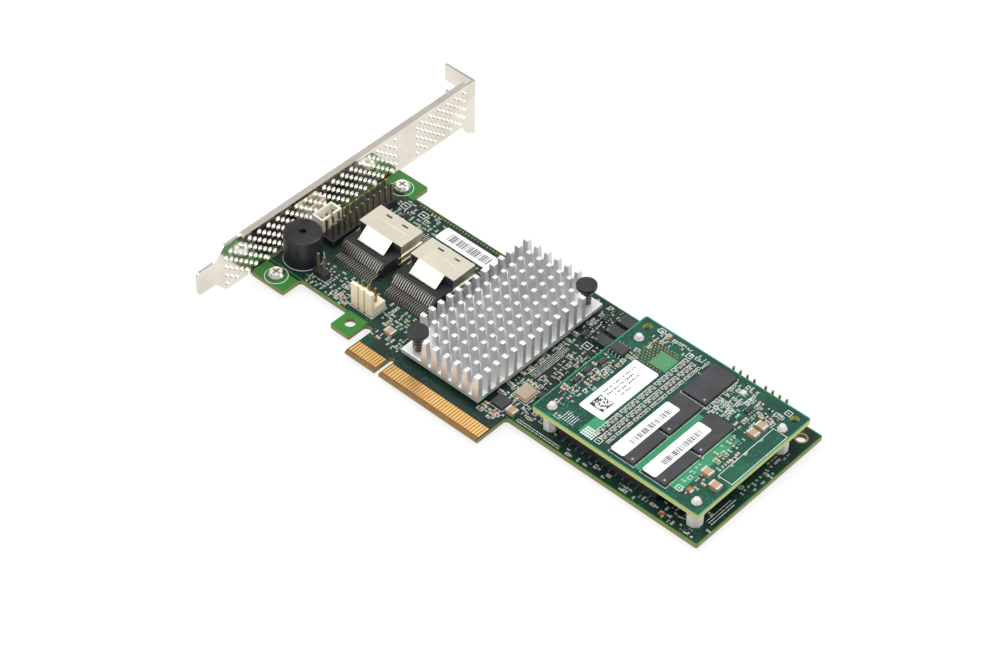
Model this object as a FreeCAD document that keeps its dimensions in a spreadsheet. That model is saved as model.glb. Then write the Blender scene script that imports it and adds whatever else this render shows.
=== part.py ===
import FreeCAD, Part

import math
import os

import Sketcher

# RAID controller card: a PCI Express x8 board with a perforated slot bracket, two
# right-angle mini-SAS sockets, a pin-fin heat sink and a plug-in cache board.
# Millimetres. X runs along the card from the middle of the edge connector's key
# notch to the far end, Y from the tips of the edge contacts to the top edge, and
# Z up from the solder face.

SIZES = [
    # the card and its outline
    ("board_thickness", 1.57),
    ("notch_to_bracket", 57.3),
    ("notch_to_far_end", 109.8),
    ("bracket_clearance", 0.6),
    ("card_height", 68.9),
    ("top_recess", 6.4),
    ("recess_end", -6.4),
    ("shoulder_height", 12.5),
    ("near_ear_start", 5.0),
    ("near_ear_reach", 13.4),
    ("far_ear_reach", 12.5),
    ("finger_short_block", 11.65),
    ("finger_long_block", 38.65),
    ("key_notch_width", 1.9),
    ("key_notch_depth", 7.6),
    ("finger_bevel", 0.5),
    ("tab_width", 7.7),
    ("tab_slot_width", 3.3),
    ("tab_slot_depth", 7.4),
    ("tab_hole_diameter", 3.6),
    ("tab_hole_height", 4.6),
    ("corner_hole_diameter", 3.2),
    ("corner_hole_from_end", 4.0),
    ("corner_hole_from_top", 4.9),
    ("inner_corner_radius", 1.2),
    ("outer_corner_radius", 0.6),
    # the gold edge contacts
    ("contact_pitch", 1.0),
    ("contact_width", 0.7),
    ("contact_start", 1.4),
    ("contact_length", 4.4),
    ("plating", 0.05),
    ("short_block_contacts", 11),
    ("long_block_contacts", 38),
    # the slot bracket
    ("sheet", 0.86),
    ("bracket_length", 120.02),
    ("bracket_tip_below", 15.6),
    ("band_bottom", 0.3),
    ("band_top", 18.7),
    ("band_end", 98.6),
    ("head_bottom", 5.3),
    ("head_top", 16.1),
    ("head_waist", 3.4),
    ("tongue_bottom", 5.0),
    ("tongue_top", 13.6),
    ("tongue_length", 6.7),
    ("tongue_slope", 4.3),
    ("flange_width", 2.0),
    ("flange_start", 1.7),
    ("bend_radius", 0.5),
    ("foot_reach", 11.5),
    ("foot_width", 7.0),
    ("foot_relief", 1.1),
    ("foot_relief_height", 1.9),
    ("top_tab_depth", 11.4),
    ("screw_slot_width", 4.42),
    ("screw_slot_depth", 5.1),
    ("screw_slot_from_top", 8.4),
    ("vent_hole_diameter", 1.75),
    ("vent_column_pitch", 3.9),
    ("vent_row_pitch", 1.65),
    ("vent_first_row", 2.6),
    ("lower_vent_start", -4.1),
    ("lower_vent_columns", 19),
    ("upper_vent_start", 77.9),
    ("upper_vent_columns", 6),
    # the screws that hold the bracket's feet
    ("screw_diameter", 3.0),
    ("screw_head_diameter", 5.2),
    ("screw_head_height", 1.9),
    ("screw_length", 4.2),
    ("screw_from_bracket", 7.45),
    ("screw_hole_gap", 0.2),
    ("cross_width", 0.6),
    ("cross_length", 2.8),
    ("cross_depth", 1.1),
    # the heat sink, its pins and the controller chip below it
    ("sink_left", 0.9),
    ("sink_front", 9.7),
    ("edge_fin_width", 2.3),
    ("fin_tip_width", 1.3),
    ("fin_root_width", 2.8),
    ("fin_length", 1.45),
    ("fin_pitch_x", 4.0),
    ("fin_pitch_y", 3.72),
    ("fin_columns", 8),
    ("fin_rows", 15),
    ("sink_base", 1.5),
    ("sink_height", 9.6),
    ("pad_thickness", 0.25),
    ("chip_size", 27.0),
    ("chip_height", 1.6),
    ("pin_inset_x", 3.9),
    ("pin_inset_y", 3.1),
    ("pin_head_diameter", 6.4),
    ("pin_head_height", 1.2),
    ("pin_shaft_diameter", 1.7),
    ("pin_hole_gap", 0.3),
    ("pin_barb_reach", 2.0),
    ("pin_barb_flare", 0.6),
    ("pin_point_share", 0.6),
    ("spring_diameter", 3.3),
    ("spring_wire", 0.5),
    ("spring_turns", 5),
    ("spring_height", 6.4),
    # the mini-SAS sockets
    ("socket_centre", 34.7),
    ("socket_pitch", 21.4),
    ("socket_front", 29.5),
    ("socket_block_width", 17.2),
    ("socket_block_depth", 8.2),
    ("socket_block_height", 4.0),
    ("socket_block_bevel", 1.1),
    ("socket_core_depth", 4.3),
    ("socket_core_gap", 0.15),
    ("socket_slot_width", 13.5),
    ("socket_slot_height", 1.7),
    ("socket_slot_depth", 3.4),
    ("shell_width", 17.6),
    ("shell_depth", 9.4),
    ("shell_height", 7.4),
    ("shell_sheet", 0.3),
    ("shell_tab_width", 10.6),
    ("shell_tab_reach", 3.9),
    ("shell_tab_drop", 2.7),
    ("latch_slot_width", 2.4),
    ("latch_slot_length", 0.7),
    ("latch_slot_spacing", 6.6),
    ("latch_slot_inset", 1.7),
    ("lead_count", 18),
    ("lead_pitch", 0.88),
    ("lead_width", 0.36),
    ("lead_thickness", 0.2),
    ("upper_lead_run", 1.9),
    ("upper_lead_reach", 2.0),
    ("lower_lead_reach", 3.6),
    ("lower_lead_height", 1.3),
    ("lead_foot", 1.0),
    # the buzzer
    ("buzzer_diameter", 12.0),
    ("buzzer_height", 10.5),
    ("buzzer_from_bracket", 7.5),
    ("buzzer_up", 20.2),
    ("buzzer_edge", 0.5),
    ("buzzer_port", 2.2),
    ("buzzer_port_depth", 1.6),
    # pins and headers
    ("post_pitch", 2.54),
    ("post_width", 0.64),
    ("post_height", 8.5),
    ("post_base_height", 2.5),
    ("long_header_from_bracket", 6.35),
    ("row_header_columns", 4),
    ("row_header_start", 28.9),
    ("double_header_columns", 7),
    ("header_end_gap", 0.1),
    ("jumper_from_bracket", 17.5),
    ("jumper_up", 18.0),
    ("key_header_posts", 3),
    ("key_header_width", 4.6),
    ("key_header_length", 8.3),
    ("key_header_height", 6.6),
    ("key_header_wall", 0.7),
    ("key_header_from_bracket", 1.0),
    ("key_header_start", 30.3),
    ("lock_header_posts", 3),
    ("lock_header_left", 25.0),
    ("lock_header_start", 15.3),
    ("lock_header_width", 8.6),
    ("lock_header_depth", 5.8),
    ("lock_base_height", 3.2),
    ("lock_wall_height", 8.9),
    ("lock_wall", 1.2),
    ("lock_groove", 0.5),
    ("rear_header_posts", 4),
    ("rear_header_start", 76.9),
    ("rear_header_spacing", 11.7),
    ("rear_header_from_top", 3.1),
    ("rear_post_height", 7.4),
    # small parts on the main board
    ("oscillator_left", 34.9),
    ("oscillator_front", 20.3),
    ("oscillator_width", 5.2),
    ("oscillator_length", 6.0),
    ("oscillator_height", 1.2),
    ("oscillator_rim", 0.4),
    ("buffer_left", 32.6),
    ("buffer_front", 13.6),
    ("buffer_size", 4.4),
    ("buffer_height", 1.0),
    ("regulator_left", 37.4),
    ("regulator_front", 52.6),
    ("regulator_spacing", 5.3),
    ("regulator_width", 4.9),
    ("regulator_length", 3.9),
    ("regulator_height", 1.2),
    # the cache board and what carries it
    ("cache_left", 46.7),
    ("cache_front", 15.0),
    ("cache_width", 60.8),
    ("cache_depth", 50.4),
    ("stack_gap", 6.4),
    ("cache_corner_radius", 1.0),
    ("cache_hole_diameter", 2.8),
    ("cache_hole_left", 3.4),
    ("cache_hole_right", 3.4),
    ("cache_hole_from_top", 3.4),
    ("standoff_left", 4.7),
    ("standoff_right", 3.5),
    ("standoff_front", 3.6),
    ("standoff_back", 9.0),
    ("standoff_diameter", 5.0),
    ("standoff_neck", 2.5),
    ("standoff_hole", 2.8),
    ("standoff_barb", 3.3),
    ("standoff_barb_length", 1.8),
    ("standoff_point_share", 0.7),
    ("stack_connector_left", 8.5),
    ("stack_connector_front", 2.4),
    ("stack_connector_length", 36.0),
    ("stack_connector_width", 5.2),
    ("stack_socket_height", 3.6),
    ("stack_wall", 1.0),
    ("stack_contacts", 14),
    ("stack_contact_width", 0.4),
    ("stack_contact_reach", 0.8),
    # parts on the cache board
    ("memory_width", 8.5),
    ("memory_length", 14.5),
    ("memory_height", 1.1),
    ("memory_gap", 1.2),
    ("memory_front", 2.0),
    ("memory_column", 27.4),
    ("memory_column_pitch", 11.5),
    ("supervisor_left", 1.3),
    ("supervisor_front", 31.8),
    ("supervisor_width", 4.9),
    ("supervisor_length", 3.9),
    ("supervisor_height", 1.4),
    ("supervisor_lead_reach", 1.0),
    ("supervisor_leads", 4),
    ("supervisor_lead_pitch", 1.27),
    # labels
    ("label_thickness", 0.1),
    ("board_label_left", 27.3),
    ("board_label_front", 53.8),
    ("board_label_width", 22.2),
    ("board_label_depth", 6.0),
    ("cache_label_left", 9.4),
    ("cache_label_front", 9.4),
    ("cache_label_width", 9.1),
    ("cache_label_depth", 24.8),
    ("chip_label_width", 4.9),
    ("chip_label_length", 24.9),
    # ceramic capacitors
    ("capacitor_length", 3.2),
    ("capacitor_width", 2.5),
    ("capacitor_height", 1.6),
    ("capacitor_cap", 0.5),
]

# Sides of the small round shapes that repeat, so that the model stays light.
VENT_SIDES = 4
VENT_ROW_PAIRS = 4
NECK_SIDES = 8
COIL_SIDES = 8

doc = FreeCAD.newDocument("raid_controller_card")
sheet = doc.addObject("Spreadsheet::Sheet", "Sizes")


class Term:
    """A size worked out from the sheet: its expression and its present value."""

    def __init__(self, text, value):
        self.text = text
        self.value = value

    def __add__(self, other):
        other = as_term(other)
        return Term(f"({self.text} + {other.text})", self.value + other.value)

    def __sub__(self, other):
        other = as_term(other)
        return Term(f"({self.text} - {other.text})", self.value - other.value)

    def __mul__(self, other):
        other = as_term(other)
        return Term(f"({self.text} * {other.text})", self.value * other.value)

    def __truediv__(self, other):
        other = as_term(other)
        return Term(f"({self.text} / {other.text})", self.value / other.value)

    def __neg__(self):
        return Term(f"(0 - {self.text})", -self.value)

    def __radd__(self, other):
        return as_term(other) + self

    def __rsub__(self, other):
        return as_term(other) - self

    def __rmul__(self, other):
        return as_term(other) * self


def as_term(value):
    """A plain number or a Term, as a Term."""
    if isinstance(value, Term):
        return value
    return Term(f"{value:.6g}", float(value))


class Sheet:
    """The sheet's sizes by name, each one a Term."""


s = Sheet()
for row, (alias, value) in enumerate(SIZES, start=1):
    sheet.set(f"A{row}", alias)
    sheet.set(f"B{row}", f"{value}")
    sheet.setAlias(f"B{row}", alias)
    setattr(s, alias, Term(f"Sizes.{alias}", float(value)))
doc.recompute()

nodes = []


def node(label, thing):
    """Name a finished sub-part and keep it for writing."""
    thing.Label = label
    nodes.append(thing)
    return thing


def place(thing, x=0, y=0, z=0):
    """Bind an object's place to the sheet."""
    for axis, value in (("x", x), ("y", y), ("z", z)):
        thing.setExpression(f"Placement.Base.{axis}", as_term(value).text)


def box(name, x, y, z, length, width, height):
    """A block with its corner at x, y, z."""
    block = doc.addObject("Part::Box", name)
    for prop, value in (("Length", length), ("Width", width), ("Height", height)):
        block.setExpression(prop, as_term(value).text)
    place(block, x, y, z)
    return block


def cylinder(name, x, y, z, radius, height):
    """An upright cylinder on x, y, z."""
    rod = doc.addObject("Part::Cylinder", name)
    rod.setExpression("Radius", as_term(radius).text)
    rod.setExpression("Height", as_term(height).text)
    place(rod, x, y, z)
    return rod


def group(name, parts):
    """Like pieces kept together as separate solids."""
    bundle = doc.addObject("Part::Compound", name)
    bundle.Links = parts
    return bundle


def new_body(name):
    """An empty body."""
    return doc.addObject("PartDesign::Body", name)


def plane(body, role):
    """One of a body's own origin planes."""
    return next(item for item in body.Origin.OriginFeatures if item.Role == role)


def sketch_on(body, name, role, offset=0):
    """A sketch on one of the body's planes, raised along the plane's normal."""
    sketch = body.newObject("Sketcher::SketchObject", name)
    sketch.AttachmentSupport = (plane(body, role), [""])
    sketch.MapMode = "FlatFace"
    sketch.setExpression("AttachmentOffset.Base.z", as_term(offset).text)
    return sketch


def pin_point(sketch, geometry, point, where):
    """Fix one point of a sketch by its two distances from the origin."""
    for kind, value in zip(("DistanceX", "DistanceY"), where):
        value = as_term(value)
        rule = sketch.addConstraint(Sketcher.Constraint(kind, -1, 1, geometry, point, value.value))
        sketch.setExpression(f"Constraints[{rule}]", value.text)


def draw_outline(sketch, points):
    """A closed outline of straight lines through points bound to the sheet."""
    first = sketch.GeometryCount
    spots = [FreeCAD.Vector(as_term(u).value, as_term(v).value, 0) for u, v in points]
    count = len(spots)
    for i in range(count):
        sketch.addGeometry(Part.LineSegment(spots[i], spots[(i + 1) % count]), False)
    for i in range(count):
        sketch.addConstraint(Sketcher.Constraint("Coincident", first + i, 2, first + (i + 1) % count, 1))
    for i, where in enumerate(points):
        pin_point(sketch, first + i, 1, where)


def draw_rectangle(sketch, u, v, width, height):
    """A rectangle with its lower left corner at u, v."""
    draw_outline(sketch, [(u, v), (u + width, v), (u + width, v + height), (u, v + height)])


def draw_circle(sketch, u, v, diameter):
    """A circle about u, v."""
    radius = as_term(diameter) / 2
    centre = FreeCAD.Vector(as_term(u).value, as_term(v).value, 0)
    circle = sketch.addGeometry(Part.Circle(centre, FreeCAD.Vector(0, 0, 1), radius.value), False)
    rule = sketch.addConstraint(Sketcher.Constraint("Radius", circle, radius.value))
    sketch.setExpression(f"Constraints[{rule}]", radius.text)
    pin_point(sketch, circle, 3, (u, v))


def draw_polygon(sketch, u, v, diameter, sides):
    """A regular polygon about u, v, in a circle of the given diameter."""
    reach = as_term(diameter) / 2
    turns = [math.tau * (i + 0.5) / sides for i in range(sides)]
    draw_outline(sketch, [(u + reach * math.cos(a), v + reach * math.sin(a)) for a in turns])


def pad(body, sketch, length, reverse=False, both_ways=False):
    """Add material along the sketch's normal."""
    feature = body.newObject("PartDesign::Pad", f"{sketch.Name}_pad")
    feature.Profile = (sketch, [""])
    feature.setExpression("Length", as_term(length).text)
    feature.Reversed = reverse
    feature.Midplane = both_ways
    doc.recompute()
    return feature


def pocket(body, sketch, depth, reverse=False, both_ways=False):
    """Take material away, and make sure that some of it went."""
    before = body.Shape.Volume
    feature = body.newObject("PartDesign::Pocket", f"{sketch.Name}_cut")
    feature.Profile = (sketch, [""])
    feature.setExpression("Length", as_term(depth).text)
    feature.Reversed = reverse
    feature.Midplane = both_ways
    doc.recompute()
    if not feature.Shape.Volume < before:
        raise ValueError(f"{feature.Name} cut nothing")
    return feature


def repeat(body, features, sketch, axis, pitch, count, reverse=False):
    """Copies of features along an axis of a sketch, a pitch apart."""
    pattern = body.newObject("PartDesign::LinearPattern", f"{features[0].Name}_row")
    pattern.Originals = features
    pattern.Direction = (sketch, [axis])
    pattern.Reversed = reverse
    pattern.setExpression("Length", (as_term(pitch) * (as_term(count) - 1)).text)
    pattern.setExpression("Occurrences", as_term(count).text)
    body.Tip = pattern
    doc.recompute()
    return pattern


def turn(body, sketch):
    """Turn a half section about the sketch's upright axis."""
    feature = body.newObject("PartDesign::Revolution", f"{sketch.Name}_turned")
    feature.Profile = (sketch, [""])
    feature.ReferenceAxis = (sketch, ["V_Axis"])
    feature.Angle = 360
    doc.recompute()
    return feature


def prism(body, name, diameter, low, high):
    """A flat-sided stretch of a body from one height to another."""
    ring = sketch_on(body, name, "XY_Plane", low)
    draw_polygon(ring, 0, 0, diameter, NECK_SIDES)
    return pad(body, ring, high - low)


def cone(body, name, low_diameter, high_diameter, low, high):
    """A flat-sided stretch that widens or narrows from one height to another."""
    rings = []
    for end, diameter, height in (("Low", low_diameter, low), ("High", high_diameter, high)):
        ring = sketch_on(body, f"{name}{end}", "XY_Plane", height)
        draw_polygon(ring, 0, 0, diameter, NECK_SIDES)
        rings.append(ring)
    feature = body.newObject("PartDesign::AdditiveLoft", name)
    feature.Profile = (rings[0], [""])
    feature.Sections = [(rings[1], [""])]
    feature.Ruled = True
    doc.recompute()
    return feature


def edges_through(shape, spots):
    """Names of the straight edges that pass through any of the given places."""
    found = []
    for number, edge in enumerate(shape.Edges, start=1):
        if any(edge.distToShape(Part.Vertex(*spot))[0] < 1e-4 for spot in spots):
            found.append(f"Edge{number}")
    return found


def round_off(body, base, spots, radius):
    """Fillet the edges through the given places."""
    places = [[as_term(value).value for value in spot] for spot in spots]
    feature = body.newObject("PartDesign::Fillet", f"{base.Name}_round")
    feature.Base = (base, edges_through(base.Shape, places))
    feature.setExpression("Radius", as_term(radius).text)
    doc.recompute()
    return feature


def bevel(body, base, spots, size):
    """Chamfer the edges through the given places."""
    places = [[as_term(value).value for value in spot] for spot in spots]
    feature = body.newObject("PartDesign::Chamfer", f"{base.Name}_bevel")
    feature.Base = (base, edges_through(base.Shape, places))
    feature.setExpression("Size", as_term(size).text)
    doc.recompute()
    return feature


# Places that several pieces share.
deck = s.board_thickness
bracket_face = -s.notch_to_bracket
board_left = -(s.notch_to_bracket - s.bracket_clearance)
recess_line = s.card_height - s.top_recess
finger_left = -(s.key_notch_width / 2 + s.finger_short_block)
finger_right = s.key_notch_width / 2 + s.finger_long_block
slot_left = finger_left - s.tab_slot_width
tab_left = slot_left - s.tab_width
screw_x = bracket_face + s.screw_from_bracket
near_screw_y = (s.near_ear_start + s.shoulder_height) / 2
far_screw_y = recess_line + (s.card_height - recess_line) * 0.1
sink_width = s.fin_pitch_x * (s.fin_columns - 1) + s.edge_fin_width
sink_depth = s.fin_pitch_y * (s.fin_rows - 1) + s.edge_fin_width
sink_floor = deck + s.chip_height + s.pad_thickness
sink_right = s.sink_left + sink_width
sink_back = s.sink_front + sink_depth
push_pin_places = [
    (s.sink_left + s.pin_inset_x, s.sink_front + s.pin_inset_y),
    (sink_right - s.pin_inset_x, sink_back - s.pin_inset_y),
]
cache_right = s.cache_left + s.cache_width
cache_back = s.cache_front + s.cache_depth
cache_floor = deck + s.stack_gap
cache_deck = cache_floor + s.board_thickness
standoff_places = [
    (s.cache_left + s.standoff_left, s.cache_front + s.standoff_front),
    (cache_right - s.standoff_right, s.cache_front + s.standoff_front),
    (s.cache_left + s.standoff_left, cache_back - s.standoff_back),
    (cache_right - s.standoff_right, cache_back - s.standoff_back),
]


def main_board():
    """The main board's outline with its ears, retention tab, edge connector and holes."""
    body = new_body("MainBoard")
    half_notch = s.key_notch_width / 2
    ear_right = board_left + s.near_ear_reach
    far_ear_right = board_left + s.far_ear_reach
    slot_top = s.near_ear_start + s.tab_slot_depth
    outline = [
        (board_left, s.near_ear_start),
        (ear_right, s.near_ear_start),
        (ear_right, s.shoulder_height),
        (tab_left, s.shoulder_height),
        (tab_left, s.near_ear_start),
        (slot_left, s.near_ear_start),
        (slot_left, slot_top),
        (finger_left, slot_top),
        (finger_left, 0),
        (-half_notch, 0),
        (-half_notch, s.key_notch_depth),
        (half_notch, s.key_notch_depth),
        (half_notch, 0),
        (finger_right, 0),
        (finger_right, s.shoulder_height),
        (s.notch_to_far_end, s.shoulder_height),
        (s.notch_to_far_end, s.card_height),
        (s.recess_end + s.top_recess, s.card_height),
        (s.recess_end, recess_line),
        (far_ear_right, recess_line),
        (far_ear_right, s.card_height),
        (board_left, s.card_height),
    ]
    sketch = sketch_on(body, "MainOutline", "XY_Plane")
    draw_outline(sketch, outline)
    plate = pad(body, sketch, deck)
    holes = sketch_on(body, "MainHoles", "XY_Plane", deck)
    screw_hole = s.screw_diameter + s.screw_hole_gap
    draw_circle(holes, screw_x, near_screw_y, screw_hole)
    draw_circle(holes, screw_x, far_screw_y, screw_hole)
    draw_circle(holes, tab_left + s.tab_width / 2, s.near_ear_start + s.tab_hole_height, s.tab_hole_diameter)
    draw_circle(
        holes,
        s.notch_to_far_end - s.corner_hole_from_end,
        s.card_height - s.corner_hole_from_top,
        s.corner_hole_diameter,
    )
    for x, y in push_pin_places:
        draw_polygon(holes, x, y, s.pin_shaft_diameter + s.pin_hole_gap, NECK_SIDES)
    for x, y in standoff_places:
        draw_polygon(holes, x, y, s.standoff_hole, NECK_SIDES)
    drilled = pocket(body, holes, deck)
    middle = deck / 2
    softened = round_off(
        body,
        drilled,
        [(-half_notch, s.key_notch_depth, middle), (half_notch, s.key_notch_depth, middle)],
        half_notch * 0.9,
    )
    softened = round_off(
        body,
        softened,
        [(slot_left, slot_top, middle), (finger_left, slot_top, middle)],
        s.tab_slot_width / 2 * 0.9,
    )
    softened = round_off(
        body,
        softened,
        [
            (ear_right, s.shoulder_height, middle),
            (tab_left, s.shoulder_height, middle),
            (finger_right, s.shoulder_height, middle),
            (far_ear_right, recess_line, middle),
        ],
        s.inner_corner_radius,
    )
    softened = round_off(
        body,
        softened,
        [
            (board_left, s.near_ear_start, middle),
            (ear_right, s.near_ear_start, middle),
            (tab_left, s.near_ear_start, middle),
            (slot_left, s.near_ear_start, middle),
            (s.notch_to_far_end, s.shoulder_height, middle),
            (s.notch_to_far_end, s.card_height, middle),
            (far_ear_right, s.card_height, middle),
            (board_left, s.card_height, middle),
        ],
        s.outer_corner_radius,
    )
    short_middle = (finger_left - half_notch) / 2
    long_middle = (finger_right + half_notch) / 2
    bevel(
        body,
        softened,
        [(x, 0, z) for x in (short_middle, long_middle) for z in (0, deck)],
        s.finger_bevel,
    )
    return node("main_board", body)


def edge_contacts():
    """Gold contacts on both faces of the edge connector."""
    body = new_body("EdgeContacts")
    half_notch = s.key_notch_width / 2
    first_gap = (s.contact_pitch - s.contact_width) / 2
    side_gap = (s.finger_short_block - s.contact_pitch * s.short_block_contacts) / 2
    rows = (
        ("Short", finger_left + side_gap + first_gap, s.short_block_contacts),
        ("Long", half_notch + side_gap + first_gap, s.long_block_contacts),
    )
    for name, start, count in rows:
        for face, height in (("Top", deck), ("Bottom", -s.plating)):
            sketch = sketch_on(body, f"{name}{face}Contact", "XY_Plane", height)
            draw_rectangle(sketch, start, s.contact_start, s.contact_width, s.contact_length)
            repeat(body, [pad(body, sketch, s.plating)], sketch, "H_Axis", s.contact_pitch, count)
    return node("edge_contacts", body)


def bracket():
    """The slot bracket: a perforated band with a folded edge, two feet and a top tab."""
    body = new_body("Bracket")
    face = bracket_face
    back = face - s.sheet
    tip = -s.bracket_tip_below
    end = s.bracket_length - s.bracket_tip_below
    tongue_root = tip + s.tongue_length
    band_start = tongue_root + s.tongue_slope
    waist = s.band_end + s.foot_relief
    feet = [
        (near_screw_y - s.foot_width / 2, near_screw_y + s.foot_width / 2),
        (far_screw_y - s.foot_width / 2, far_screw_y + s.foot_width / 2),
    ]
    outline = [
        (tip, s.tongue_bottom),
        (tongue_root, s.tongue_bottom),
        (band_start, s.band_bottom),
    ]
    for start, stop in feet:
        relief = s.band_bottom + s.foot_relief_height
        outline += [
            (start - s.foot_relief, s.band_bottom),
            (start - s.foot_relief, relief),
            (start, relief),
            (start, -s.sheet),
            (stop, -s.sheet),
            (stop, relief),
            (stop + s.foot_relief, relief),
            (stop + s.foot_relief, s.band_bottom),
        ]
    outline += [
        (s.band_end - s.foot_relief, s.band_bottom),
        (waist, -(s.head_waist / 5)),
        (waist + s.foot_relief, -s.head_waist),
        (end, -s.head_bottom),
        (end, s.head_top),
        (s.band_end, s.head_top),
        (s.band_end, s.band_top),
        (s.flange_start, s.band_top),
        (s.flange_start, s.band_top - s.foot_relief),
        (band_start, s.band_top - s.foot_relief),
        (tongue_root, s.tongue_top),
        (tip, s.tongue_top),
    ]
    sketch = sketch_on(body, "BracketFace", "YZ_Plane", back)
    draw_outline(sketch, outline)
    pad(body, sketch, s.sheet)
    flange = sketch_on(body, "BracketFlange", "YZ_Plane", back)
    draw_rectangle(flange, s.flange_start, s.band_top - s.sheet, s.band_end - s.flange_start, s.sheet)
    folded = pad(body, flange, s.sheet + s.flange_width)
    for number, (start, stop) in enumerate(feet, start=1):
        foot = sketch_on(body, f"BracketFoot{number}", "YZ_Plane", back)
        draw_rectangle(foot, start, -s.sheet, s.foot_width, s.sheet)
        folded = pad(body, foot, s.sheet + s.foot_reach)
    tab = sketch_on(body, "BracketTopTab", "XY_Plane", -s.head_bottom)
    draw_rectangle(tab, back - s.top_tab_depth, end - s.sheet, s.top_tab_depth + s.sheet, s.sheet)
    folded = pad(body, tab, s.head_bottom + s.head_top)
    slot_low = s.head_top - s.screw_slot_from_top - s.screw_slot_width / 2
    slot = sketch_on(body, "BracketScrewSlot", "XZ_Plane", -(end + s.sheet))
    edge = back - s.top_tab_depth
    draw_rectangle(slot, edge - s.sheet, slot_low, s.screw_slot_depth + s.sheet, s.screw_slot_width)
    pocket(body, slot, s.sheet * 3, reverse=True)
    thread = sketch_on(body, "BracketFootHoles", "XY_Plane")
    for y in (near_screw_y, far_screw_y):
        draw_circle(thread, screw_x, y, s.screw_diameter + s.screw_hole_gap)
    drilled = pocket(body, thread, s.sheet)
    middle = (s.flange_start + s.band_end) / 2
    slot_bottom = edge + s.screw_slot_depth
    rounded = round_off(
        body,
        drilled,
        [(slot_bottom, end - s.sheet / 2, z) for z in (slot_low, slot_low + s.screw_slot_width)],
        s.screw_slot_width / 2 * 0.9,
    )
    rounded = round_off(
        body,
        rounded,
        [(face, middle, s.band_top - s.sheet), (face, end - s.sheet, s.head_top / 2)]
        + [(face, (start + stop) / 2, 0) for start, stop in feet],
        s.bend_radius,
    )
    rounded = round_off(
        body,
        rounded,
        [(back, middle, s.band_top), (back, end, s.head_top / 2)]
        + [(back, (start + stop) / 2, -s.sheet) for start, stop in feet],
        s.bend_radius + s.sheet * 0.7,
    )
    rounded = round_off(
        body,
        rounded,
        [(face - s.sheet / 2, tip, z) for z in (s.tongue_bottom, s.tongue_top)],
        s.outer_corner_radius * 2,
    )
    half_pitch = s.vent_column_pitch / 2
    zones = (
        ("Lower", s.lower_vent_start, s.lower_vent_columns),
        ("Upper", s.upper_vent_start, s.upper_vent_columns),
    )
    for name, start, columns in zones:
        for rows, shift, lift in (("Even", 0, 0), ("Odd", half_pitch, s.vent_row_pitch)):
            vents = sketch_on(body, f"{name}{rows}Vents", "YZ_Plane", face)
            for row in range(VENT_ROW_PAIRS):
                height = s.vent_first_row + lift + s.vent_row_pitch * 2 * row
                draw_polygon(vents, start + shift, height, s.vent_hole_diameter, VENT_SIDES)
            cut = pocket(body, vents, s.sheet)
            repeat(body, [cut], vents, "H_Axis", s.vent_column_pitch, columns)
    return node("bracket", body)


def bracket_screw(number, y):
    """A pan-head cross-recess screw through an ear into the bracket's foot."""
    body = new_body(f"BracketScrew{number}")
    sketch = sketch_on(body, f"ScrewSection{number}", "XZ_Plane")
    head = s.screw_head_diameter / 2
    draw_outline(sketch, [
        (0, 0),
        (head, 0),
        (head, s.screw_head_height * 0.5),
        (head * 0.75, s.screw_head_height),
        (0, s.screw_head_height),
    ])
    turn(body, sketch)
    prism(body, f"ScrewShank{number}", s.screw_diameter, -s.screw_length, 0)
    for way, (width, length) in enumerate((
        (s.cross_width, s.cross_length),
        (s.cross_length, s.cross_width),
    )):
        cross = sketch_on(body, f"ScrewCross{number}{way}", "XY_Plane", s.screw_head_height)
        draw_rectangle(cross, -(width / 2), -(length / 2), width, length)
        pocket(body, cross, s.cross_depth)
    place(body, screw_x, y, deck)
    return body


def heat_sink():
    """A pin-fin heat sink: a block cross-cut both ways, with two corners cleared for the push pins."""
    body = new_body("HeatSink")
    block = sketch_on(body, "SinkBlock", "XY_Plane")
    draw_rectangle(block, 0, 0, sink_width, sink_depth)
    pad(body, block, s.sink_height)
    fin_height = s.sink_height - s.sink_base
    over = s.edge_fin_width
    first_x = (s.edge_fin_width + s.fin_pitch_x) / 2
    first_y = (s.edge_fin_width + s.fin_pitch_y) / 2
    mouth = (s.fin_pitch_x - s.fin_tip_width) / 2
    floor = (s.fin_pitch_x - s.fin_root_width) / 2
    lanes = sketch_on(body, "SinkLaneX", "XZ_Plane", over)
    draw_outline(lanes, [
        (first_x - floor, s.sink_base),
        (first_x + floor, s.sink_base),
        (first_x + mouth, s.sink_height),
        (first_x - mouth, s.sink_height),
    ])
    cut = pocket(body, lanes, sink_depth + over * 2)
    repeat(body, [cut], lanes, "H_Axis", s.fin_pitch_x, s.fin_columns - 1)
    lanes = sketch_on(body, "SinkLaneY", "XY_Plane", s.sink_height)
    saw_cut = s.fin_pitch_y - s.fin_length
    draw_rectangle(lanes, -over, first_y - saw_cut / 2, sink_width + over * 2, saw_cut)
    cut = pocket(body, lanes, fin_height)
    repeat(body, [cut], lanes, "V_Axis", s.fin_pitch_y, s.fin_rows - 1)
    corner_x = first_x + s.fin_pitch_x
    corner_y = first_y + s.fin_pitch_y
    corners = sketch_on(body, "SinkCorners", "XY_Plane", s.sink_height)
    draw_rectangle(corners, -over, -over, corner_x + over, corner_y + over)
    draw_rectangle(corners, sink_width - corner_x, sink_depth - corner_y, corner_x + over, corner_y + over)
    pocket(body, corners, fin_height)
    holes = sketch_on(body, "SinkHoles", "XY_Plane", s.sink_base)
    hole = s.pin_shaft_diameter + s.pin_hole_gap
    draw_polygon(holes, s.pin_inset_x, s.pin_inset_y, hole, NECK_SIDES)
    draw_polygon(holes, sink_width - s.pin_inset_x, sink_depth - s.pin_inset_y, hole, NECK_SIDES)
    pocket(body, holes, s.sink_base)
    place(body, s.sink_left, s.sink_front, sink_floor)
    return node("heat_sink", body)


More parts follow.
